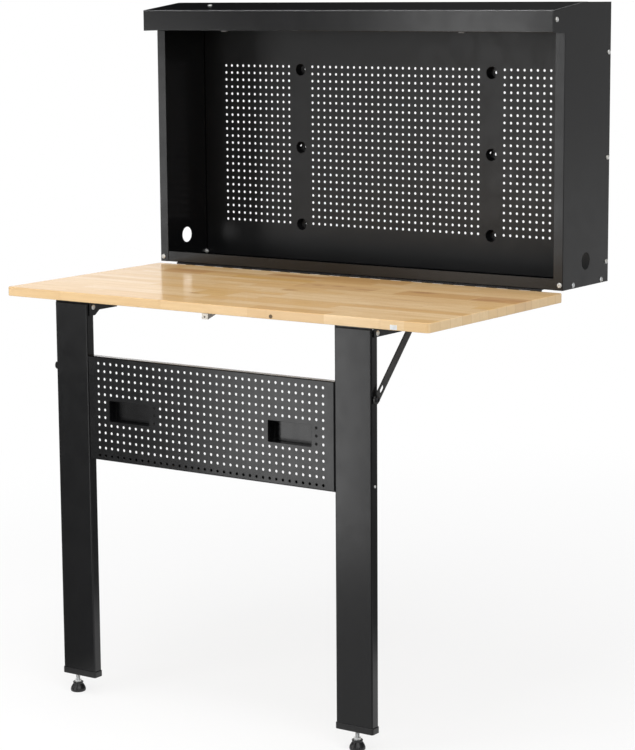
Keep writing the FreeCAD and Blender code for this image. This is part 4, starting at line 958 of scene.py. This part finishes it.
@dataclass(frozen=True)
class NutKind:
    """A hexagon nut, in millimetres, with chamfered corners and a washer face."""

    flats: float
    height: float
    bore: float
    steps: int = 36

    def surface(self) -> Surface:
        """The nut about +Z, standing on zero.

        Its side follows the smaller of the hexagon's radius and a chamfer cone at each end.

        Returns:
            The closed surface.
        """
        flats, tall, bore = self.flats * MM, self.height * MM, self.bore * MM
        share = np.array([0.0, 0.0, 0.02, 0.10, 0.20, 0.80, 0.90, 0.98, 1.0, 1.0])
        base = np.array([bore, flats * 0.47, flats * 0.50, flats * 0.535, flats * 0.60, flats * 0.60,
                         flats * 0.535, flats * 0.50, flats * 0.47, bore])

        def corners(angle: np.ndarray, radius: np.ndarray, height: np.ndarray) -> Grids:
            """Cut the cones with the hexagon."""
            return np.minimum(radius, hexagon_radius(angle, flats)), height

        return lathe(base, share * tall, self.steps, corners)


def row(places: Iterable[tuple[float, float, float]], direction: tuple[float, float, float],
        surface: Surface) -> Surface:
    """Copies of a surface at places in millimetres, all facing one way."""
    points = np.array(list(places), float) * MM
    return surface.placed(frames_to(points, np.tile(np.array(direction, float), (len(points), 1))))


M6_NUT = NutKind(9.87, 5.0, 2.9)
HINGE_SCREW = ScrewKind(4.0, 1.8, 2.0, 1.1)
HINGE_ROW = tuple(1090.0 * ((k + 0.5) / 9 - 0.5) for k in range(9))


# ---- sub-assemblies ----------------------------------------------------------
@dataclass(frozen=True)
class Kit:
    """What a sub-assembly is dressed and built with."""

    frame: dict
    effects: SharedEffects
    finishes: Finishes

    def dress(self, finish: Finish, *names: str) -> None:
        """Put one finish on carried over nodes in place of their plain materials.

        Args:
            finish: the finish.
            names: the nodes.
        """
        material = finish.material(self.effects)
        for name in names:
            node = self.frame["nodes"][name]
            if not node.material_slots:
                node.data.materials.append(material)
            for slot in node.material_slots:
                slot.material = material
            LOG.info("%s: %s", name, finish.name)

    def add(self, name: str, surface: Surface, finish: Finish, body: Body, slot: str, *nodes: str) -> None:
        """Make a piece from a surface, on a body, in place of nodes.

        Args:
            name: the piece's name.
            surface: its points and faces, in metres in the bench's frame.
            finish: its finish.
            body: the body that it rides on.
            slot: the record's material slot; not used.
            nodes: the solids that it stands for.
        """
        mesh = bpy.data.meshes.new(name)
        mesh.from_pydata(surface.points, [], surface.quads.tolist() + surface.triangles.tolist())
        mesh.validate()
        mesh.shade_smooth()
        mesh.set_sharp_from_angle(angle=SHARP_ANGLE)
        mesh.materials.append(finish.material(self.effects))
        piece = bpy.data.objects.new(name, mesh)
        bpy.context.scene.collection.objects.link(piece)
        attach(piece, body.value)
        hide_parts(*nodes)
        LOG.info("%s: %d faces on %s", name, len(mesh.polygons), body.value)

    def add_zinc(self, name: str, body: Body, node: str, *parts: Surface) -> None:
        """Make one zinc plated piece from its parts, in place of a node."""
        self.add(name, joined(parts), self.finishes.zinc, body, "zinc", node)


class SubAssembly:
    """A part of the bench that is dressed and built with a kit."""

    def dress(self, kit: Kit) -> None:
        """Dress the carried over nodes, where it has any."""

    def build(self, kit: Kit) -> None:
        """Add the finer pieces, where it has any."""


@dataclass(frozen=True)
class Cabinet(SubAssembly):
    """The sheet steel cabinet with its hood, pegboard, wall rails and hinge leaf, in millimetres."""

    side_face: float = 600.0
    nut_seat: float = 592.4
    side_screws: Points = ((-176.0, -288.5), (-35.0, -288.5), (-10.0, 254.5),
                            (-10.0, 3.8), (-10.0, -247.7), (-267.5, 335.0))
    side_screw: ScrewKind = ScrewKind(6.0, 3.2, 3.0, 11.0)
    corner: tuple[float, float, float] = (591.4, -226.5, -284.0)
    corner_screw: ScrewKind = ScrewKind(6.0, 2.4, 3.0, 8.0)
    slope_rise: float = 18.0
    slope_run: float = 148.5
    fascia_top: tuple[float, float] = (-281.5, 356.5)
    hood_spot: tuple[float, float] = (-451.5, -194.0)
    hood_screw: ScrewKind = ScrewKind(5.6, 2.6, 2.0, 8.0)
    hinge_line: tuple[float, float] = (-213.6, -297.7)

    def dress(self, kit: Kit) -> None:
        """Coat the sheets, and give the catches and the hinge their metal.

        Args:
            kit: the frame, the effects and the finishes.
        """
        finishes = kit.finishes
        kit.dress(finishes.coat, "cabinet_side_left", "cabinet_side_right", "cabinet_shelf", "cabinet_top",
                  "wall_rail_left", "wall_rail_right")
        kit.dress(finishes.painted_highlight_coat, "hood_fascia")
        kit.dress(finishes.board_coat, "pegboard")
        kit.dress(finishes.spring, "fascia_catch_left", "fascia_catch_right")
        kit.dress(finishes.black_bolt, "hinge_leaf_cabinet", "hinge_pin")

    def build(self, kit: Kit) -> None:
        """Add the side screws with their nuts, the corner and hood screws and the hinge's screws.

        Args:
            kit: the frame, the effects and the finishes.
        """
        screw, nut = self.side_screw.surface(), M6_NUT.surface()
        for side in Side:
            sign, word = side.value, side.word
            heads = row([(sign * self.side_face, y, z) for y, z in self.side_screws], (sign, 0, 0), screw)
            nuts = row([(sign * self.nut_seat, y, z) for y, z in self.side_screws], (sign, 0, 0), nut)
            kit.add_zinc(f"side_pan_heads_{word}", Body.CABINET, f"side_screws_{word}", heads)
            kit.add_zinc(f"side_hex_nuts_{word}", Body.CABINET, f"side_nuts_{word}", nuts)
        x, y, z = self.corner
        kit.add_zinc("corner_screws", Body.CABINET, "flange_screws",
                     row([(-x, y, z), (x, y, z)], (0, -1, 0), self.corner_screw.surface()))
        slope = self.slope_rise / self.slope_run
        x, y = self.hood_spot
        spot = (x, y, self.fascia_top[1] + slope * (y - self.fascia_top[0]))
        kit.add_zinc("hood_screw", Body.CABINET, "hood_screws",
                     row([spot], (0, -slope, 1), self.hood_screw.surface()))
        y, z = self.hinge_line
        kit.add_zinc("hinge_heads_cabinet", Body.CABINET, "hinge_screws_cabinet",
                     row([(x, y, z) for x in HINGE_ROW], (0, 0, -1), HINGE_SCREW.surface()))


@dataclass(frozen=True)
class Table(SubAssembly):
    """The wooden table with its hinge leaf, leg brackets and edge fittings, in millimetres."""

    pivot: tuple[float, float] = (-802.0, -336.0)
    pivot_bolt: ScrewKind = ScrewKind(6.0, 3.2, 3.0, 10.1, Drive.HEXAGON)
    bolt_seats: tuple[float, float] = (456.3, 351.7)
    nut_seats: tuple[float, float] = (451.2, 356.8)
    underside: float = -326.0
    wood_spots: Points = ((374.0, -776.5), (434.0, -776.5), (374.0, -751.5), (434.0, -751.5),
                           (446.3, -694.5))
    wood_screw: ScrewKind = ScrewKind(4.0, 2.2, 2.0, 0.3)
    hasp_spot: tuple[float, float, float] = (0.0, -788.2, -325.0)
    hasp_screw: ScrewKind = ScrewKind(4.0, 2.4, 1.6, 0.3)
    hinge_line: tuple[float, float] = (-229.0, -310.6)

    def dress(self, kit: Kit) -> None:
        """Lacquer the top, coat the brackets and give the fittings their metal and rubber.

        Args:
            kit: the frame, the effects and the finishes.
        """
        finishes = kit.finishes
        kit.dress(finishes.wood, "tabletop")
        kit.dress(finishes.coat, "leg_bracket_left", "leg_bracket_right")
        kit.dress(finishes.bare_plate, "hasp_bracket")
        kit.dress(finishes.zinc, "strike_plate", "stay_rivet_left", "stay_rivet_right")
        kit.dress(finishes.black_bolt, "hinge_leaf_table")
        kit.dress(finishes.rubber, "edge_buffer")

    def build(self, kit: Kit) -> None:
        """Add the leg pivots, the wood screws, the hasp's screw and the hinge's screws.

        Args:
            kit: the frame, the effects and the finishes.
        """
        bolt, nut = self.pivot_bolt.surface(), M6_NUT.surface()
        for side in Side:
            sign, word = side.value, side.word
            ways = ((sign, 0, 0), (-sign, 0, 0))
            bolts = [row([(sign * x, *self.pivot)], way, bolt) for x, way in zip(self.bolt_seats, ways)]
            nuts = [row([(sign * x, *self.pivot)], way, nut) for x, way in zip(self.nut_seats, ways[::-1])]
            kit.add_zinc(f"leg_pivots_{word}", Body.TABLE, f"pivot_bolts_{word}", *bolts, *nuts)
        y, z = self.hinge_line
        kit.add_zinc("hinge_heads_table", Body.TABLE, "hinge_screws_table",
                     row([(x, y, z) for x in HINGE_ROW], (0, 1, 0), HINGE_SCREW.surface()))
        under = [(sign * x, y, self.underside) for sign in (-1, 1) for x, y in self.wood_spots]
        kit.add_zinc("bracket_wood_screws", Body.TABLE, "bracket_screws",
                     row(under, (0, 0, -1), self.wood_screw.surface()))
        kit.add_zinc("hasp_tail_screw", Body.TABLE, "hasp_screw",
                     row([self.hasp_spot], (0, 0, -1), self.hasp_screw.surface()))


@dataclass(frozen=True)
class LegFrame(SubAssembly):
    """Two tube legs joined by the perforated panel, with grips, caps and stay bolts, in millimetres."""

    outer_wall: float = 453.0
    inner_wall: float = 353.7
    screw_y: float = -809.0
    screw_rows: tuple[float, float] = (-485.5, -678.3)
    panel_screw: ScrewKind = ScrewKind(4.0, 2.2, 2.0, 2.8)
    outer_screw: ScrewKind = ScrewKind(3.2, 2.2, 2.0, 1.5)
    stud: tuple[float, float] = (-809.3, -482.3)
    stud_ease: float = 0.35
    stud_profile: Points = ((0.2, -5.5), (4.5, -5.5), (4.5, -1.5), (3.0, -1.5), (3.0, 0.0), (4.5, 0.0),
                            (4.5, 3.6), (3.0, 3.6), (3.0, 7.1), (6.5, 7.1), (6.5, 9.6), (5.4, 11.1),
                            (3.4, 11.1), (3.1, 10.9), (2.9, 8.6), (0.2, 8.4))
    socket_flats: float = 2.0
    socket_floor: float = 8.3
    socket_reach: float = 3.3
    socket_corner: float = 1.06

    def dress(self, kit: Kit) -> None:
        """Coat the tubes, the panel and the cups, and give the caps and inserts their own finish.

        Args:
            kit: the frame, the effects and the finishes.
        """
        finishes = kit.finishes
        kit.dress(finishes.folded_coat, "leg_left", "leg_right")
        kit.dress(finishes.coat, "lower_panel")
        kit.dress(finishes.cup_coat, "grip_cup_left", "grip_cup_right")
        kit.dress(finishes.plastic, "leg_cap_left", "leg_cap_right")
        kit.dress(finishes.zinc, "foot_insert_left", "foot_insert_right")

    def build(self, kit: Kit) -> None:
        """Add the stay bolts, the screws at the panel's ends and those on the legs' outer sides.

        Args:
            kit: the frame, the effects and the finishes.
        """
        bolt, screw, outer = self._stay_bolt(), self.panel_screw.surface(), self.outer_screw.surface()
        for side in Side:
            shank = row([(side.value * self.outer_wall, *self.stud)], (side.value, 0, 0), bolt)
            kit.add(f"stay_bolt_{side.word}", shank, kit.finishes.black_bolt, Body.LEG_FRAME, "black_bolt",
                    f"stay_stud_{side.word}")
        ends = [row([(sign * self.inner_wall, self.screw_y, z) for z in self.screw_rows], (-sign, 0, 0), screw)
                for sign in (1, -1)]
        kit.add_zinc("panel_end_screws", Body.LEG_FRAME, "panel_screws", *ends)
        sides = [row([(sign * self.outer_wall, self.screw_y, self.screw_rows[1])], (sign, 0, 0), outer)
                 for sign in (-1, 1)]
        kit.add_zinc("leg_side_screws", Body.LEG_FRAME, "leg_screws", *sides)

    def _stay_bolt(self) -> Surface:
        """The shoulder bolt: an eased profile of sleeve, groove, shank and a head with a hexagonal socket."""
        radius, height = eased(self.stud_profile, self.stud_ease)
        return lathe(radius * MM, height * MM, 40, self._socket)

    def _socket(self, angle: np.ndarray, radius: np.ndarray, height: np.ndarray) -> Grids:
        """Make the socket in the bolt's head hexagonal: radii inside it follow a hexagon.

        Args:
            angle: each point's angle.
            radius: each point's radius.
            height: each point's height.

        Returns:
            The bent radii and the heights.
        """
        inside = (height > self.socket_floor * MM) & (radius < self.socket_reach * MM)
        corner = hexagon_radius(angle, self.socket_flats) / self.socket_corner
        return np.where(inside, radius * corner, radius), height


@dataclass(frozen=True)
class Stays(SubAssembly):
    """The two flat stays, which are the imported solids."""

    def dress(self, kit: Kit) -> None:
        """Coat both stays."""
        kit.dress(kit.finishes.stay_coat, "stay_left", "stay_right")


@dataclass(frozen=True)
class LevellingFoot(SubAssembly):
    """A threaded stud with a lock nut in a moulded glide, in millimetres."""

    side: Side
    x: float
    y: float = -809.0
    floor: float = -1291.5
    stud_radius: float = 5.0
    pitch: float = 1.5
    thread_depth: float = 0.75
    stud_base: float = 8.0
    stud_length: float = 72.0
    nut_base: float = 22.5
    lock_nut: NutKind = NutKind(15.9, 7.0, 4.6)
    glide_profile: Points = ((0.3, 0.0), (15.6, 0.0), (17.9, 1.3), (18.5, 4.0), (18.5, 7.2), (17.3, 10.8),
                             (15.4, 14.4), (13.4, 17.4), (12.0, 19.6), (12.9, 23.6), (12.4, 24.5),
                             (10.2, 24.5), (10.0, 22.7), (5.0, 22.5), (0.3, 22.5))
    glide_ease: float = 1.6

    def _placed(self, surface: Surface) -> Surface:
        """Stand a surface on the floor at the foot's place."""
        return row([(self.x, self.y, self.floor)], (0, 0, 1), surface)

    def glide(self) -> Surface:
        """The glide: an eased profile turned about Z, a domed base under a flared collar."""
        radius, height = eased(self.glide_profile, self.glide_ease, 6)
        return self._placed(lathe(radius * MM, height * MM, 96))

    def stud(self) -> Surface:
        """The stud's thread, a ridge whose phase is height over pitch less the angle's share of a turn.

        The radius falls by the thread's depth times a triangle wave of that phase, and runs out at
        both ends.

        Returns:
            The closed surface.
        """
        rows = int(self.stud_length / self.pitch * 6)
        top = (self.stud_base + self.stud_length) * MM
        level = np.linspace(self.stud_base * MM, top, rows)

        def thread(angle: np.ndarray, radius: np.ndarray, height: np.ndarray) -> Grids:
            """Cut the thread and chamfer the tip.

            Args:
                angle: each point's angle.
                radius: each point's radius.
                height: each point's height.

            Returns:
                The cut radii and the heights.
            """
            phase = np.mod(height / (self.pitch * MM) - angle / (2 * math.pi), 1.0)
            wave = np.abs(2 * phase - 1)
            tip = smooth_step(top - height, 0.0, 1.2 * MM)
            return (radius - self.thread_depth * MM * wave) * (0.80 + 0.20 * tip), height

        radius = np.full(rows, self.stud_radius * MM)
        return self._placed(lathe(radius, level, 32, thread))

    def nut(self) -> Surface:
        """The lock nut that stands on the glide's web."""
        return row([(self.x, self.y, self.floor + self.nut_base)], (0, 0, 1), self.lock_nut.surface())

    def build(self, kit: Kit) -> None:
        """Add the glide, and the stud with its nut.

        Args:
            kit: the frame, the effects and the finishes.
        """
        word = self.side.word
        body = Body.FOOT_LEFT if self.side is Side.LEFT else Body.FOOT_RIGHT
        kit.add(f"glide_{word}", self.glide(), kit.finishes.plastic, body, "black_plastic",
                f"foot_glide_{word}")
        kit.add_zinc(f"threaded_stud_{word}", body, f"foot_stud_{word}", self.stud(), self.nut())


# ---- studio ------------------------------------------------------------------
@dataclass(frozen=True)
class Softbox:
    """A rectangular softbox, in metres.  A level of 1 is the white of the background."""

    name: str
    place: tuple[float, float, float]
    target: tuple[float, float, float]
    width: float
    height: float
    level: float

    def add(self) -> None:
        """Add the lamp, turned to its target; its power is level times pi times its area."""
        light = bpy.data.lights.new(self.name, "AREA")
        light.shape = "RECTANGLE"
        light.size, light.size_y = self.width, self.height
        light.energy = self.level * math.pi * self.width * self.height
        lamp = bpy.data.objects.new(self.name, light)
        lamp.location = self.place
        aim = Vector(self.target) - Vector(self.place)
        lamp.rotation_euler = aim.to_track_quat("-Z", "Y").to_euler()
        lamp.visible_camera = False
        bpy.context.scene.collection.objects.link(lamp)


@dataclass(frozen=True)
class Studio:
    """Plain pale floor, white surroundings, softboxes and the camera."""

    floor_z: float = -1.2915
    floor_half: float = 14.0
    floor_tone: float = 0.80
    floor_share: float = 0.78
    floor_low: float = 0.22
    floor_front: tuple[tuple[float, float, float], ...] = ((-0.62, -0.44, 0.62), (0.50, 0.65, 0.05))
    floor_under: tuple[float, float, float] = (-0.90, -0.82, 0.90)
    floor_strips: tuple[tuple[float, float, float], ...] = ((-0.22, -0.04, 0.17), (1.5, 4.0, 0.29),
                                                            (4.0, 6.0, 0.60))
    floor_clear: tuple[float, float] = (1.2, 3.2)
    eye: tuple[float, float, float] = (3.2355, -5.0559, 0.4075)
    right: tuple[float, float, float] = (0.82332, 0.56754, -0.00663)
    down: tuple[float, float, float] = (0.08672, -0.13733, -0.98672)
    ahead: tuple[float, float, float] = (-0.56092, 0.81181, -0.16228)
    lens: float = 112.657
    sensor: float = 36.0
    room: float = 0.58
    horizon: tuple[float, float, float] = (0.03, 0.12, 0.40)
    upper_room: tuple[float, float, float, float] = (-0.62, -0.46, 0.004, 0.05)
    boxes: tuple[Softbox, ...] = (
        Softbox("strip_box", (-0.80, -2.3, -0.295), (-0.80, 0.0, -0.295), 0.62, 1.98, 2.7),
        Softbox("left_box", (-2.60, -2.3, -0.25), (-0.6, -0.3, -0.25), 1.00, 1.00, 1.9),
        Softbox("key_box", (3.00, -3.1, 1.60), (0.0, -0.7, -0.30), 3.20, 3.20, 2.5),
        Softbox("top_box", (0.00, -1.0, 2.60), (0.0, -0.7, -0.30), 2.00, 2.00, 5.4),
        Softbox("low_card", (-2.80, 2.0, -0.40), (-0.6, -0.5, -0.40), 2.60, 1.70, 1.8),
    )

    def add_camera(self) -> None:
        """Place the camera from its eye point and its three axes."""
        camera = bpy.data.objects.new("camera", bpy.data.cameras.new("camera"))
        camera.data.lens = self.lens
        camera.data.sensor_fit = "AUTO"
        camera.data.sensor_width = self.sensor
        camera.data.clip_end = 100.0
        axes = np.array([self.right, -np.array(self.down), -np.array(self.ahead)]).T
        camera.matrix_world = Matrix.Translation(Vector(self.eye)) @ Matrix(axes.tolist()).to_4x4()
        bpy.context.scene.collection.objects.link(camera)
        bpy.context.scene.camera = camera

    def add_floor(self) -> None:
        """A wide floor that looks white to the camera and keeps the bench's shadow.

        The share of plain white grows with the distance from the bench, so that the floor's far
        edge can't be told from the surroundings.  In reflections it is plain and dimmer: in front
        its level follows X, under the bench it is near white, and behind it each strip of Y leads
        to a new level.
        """
        half = self.floor_half
        corners = np.array([[-half, -half, 0], [half, -half, 0], [half, half, 0], [-half, half, 0]])
        mesh = bpy.data.meshes.new("floor")
        mesh.from_pydata(corners + np.array([0, 0, self.floor_z]), [], [(0, 1, 2, 3)])
        material = bpy.data.materials.new("Pale Floor")
        material.use_nodes = True
        material.node_tree.nodes.clear()
        graph = Graph(material.node_tree)
        path = graph.node("ShaderNodeLightPath")
        glossy = path.outputs["Is Glossy Ray"]
        matt = graph.node("ShaderNodeBsdfDiffuse", {"Color": rgba((self.floor_tone,) * 3)})
        seen = graph.math("MAXIMUM", path.outputs["Is Camera Ray"], path.outputs["Is Transmission Ray"])
        place = graph.node("ShaderNodeTexCoord").outputs["Object"]
        reach = graph.node("ShaderNodeVectorMath", {0: place}, operation="LENGTH").outputs["Value"]
        across, depth, _ = graph.split(place)
        level = self.floor_low
        for run, ramps in ((across, self.floor_front), (depth, (self.floor_under, *self.floor_strips))):
            for start, end, target in ramps:
                level = graph.remap(run, start, end, level, target)
        strength = graph.math("ADD", graph.math("MULTIPLY", glossy, level), graph.math("SUBTRACT", 1.0, glossy))
        glow = graph.node("ShaderNodeEmission", {"Color": rgba((1.0, 1.0, 1.0)), "Strength": strength})
        clear = graph.remap(reach, *self.floor_clear, self.floor_share, 1.0)
        share = graph.math("MAXIMUM", graph.math("MULTIPLY", seen, clear), glossy)
        both = graph.node("ShaderNodeMixShader", {0: share, 1: matt.outputs[0], 2: glow.outputs[0]})
        graph.node("ShaderNodeOutputMaterial", {"Surface": both.outputs[0]})
        mesh.materials.append(material)
        floor = bpy.data.objects.new("floor", mesh)
        bpy.context.scene.collection.objects.link(floor)

    def add_world(self) -> None:
        """White to the eye; in reflections white low down behind on the left, and a dim room elsewhere."""
        world = bpy.data.worlds.new("studio")
        world.use_nodes = True
        world.node_tree.nodes.clear()
        graph = Graph(world.node_tree)
        path = graph.node("ShaderNodeLightPath")
        x, _, z = graph.split(graph.node("ShaderNodeTexCoord").outputs["Generated"])
        level = graph.remap(z, *self.horizon, graph.remap(x, *self.upper_room))
        glossy = graph.math("MULTIPLY", path.outputs["Is Glossy Ray"], level)
        clear = graph.math("MAXIMUM", path.outputs["Is Camera Ray"], path.outputs["Is Transmission Ray"])
        plain = graph.math("MULTIPLY", graph.math("SUBTRACT", 1.0, path.outputs["Is Glossy Ray"]), self.room)
        strength = graph.math("MAXIMUM", clear, graph.math("ADD", glossy, plain))
        back = graph.node("ShaderNodeBackground", {"Color": rgba((1.0, 1.0, 1.0)), "Strength": strength})
        graph.node("ShaderNodeOutputWorld", {"Surface": back.outputs[0]})
        bpy.context.scene.world = world

    def build(self) -> None:
        """Set up the whole studio."""
        bpy.context.scene.view_settings.view_transform = "Standard"
        self.add_camera()
        for softbox in self.boxes:
            softbox.add()
        self.add_floor()
        self.add_world()


def main() -> None:
    """Load the solids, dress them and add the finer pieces."""
    logging.basicConfig(level=logging.INFO, format="%(name)s: %(message)s")
    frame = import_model()
    Studio().build()
    kit = Kit(frame, SharedEffects(), Finishes())
    for assembly in (Cabinet(), Table(), LegFrame(), Stays(), LevellingFoot(Side.LEFT, -420.0),
                     LevellingFoot(Side.RIGHT, 404.0)):
        LOG.info("%s", type(assembly).__name__)
        assembly.dress(kit)
        assembly.build(kit)


if __name__ == "__main__":
    main()
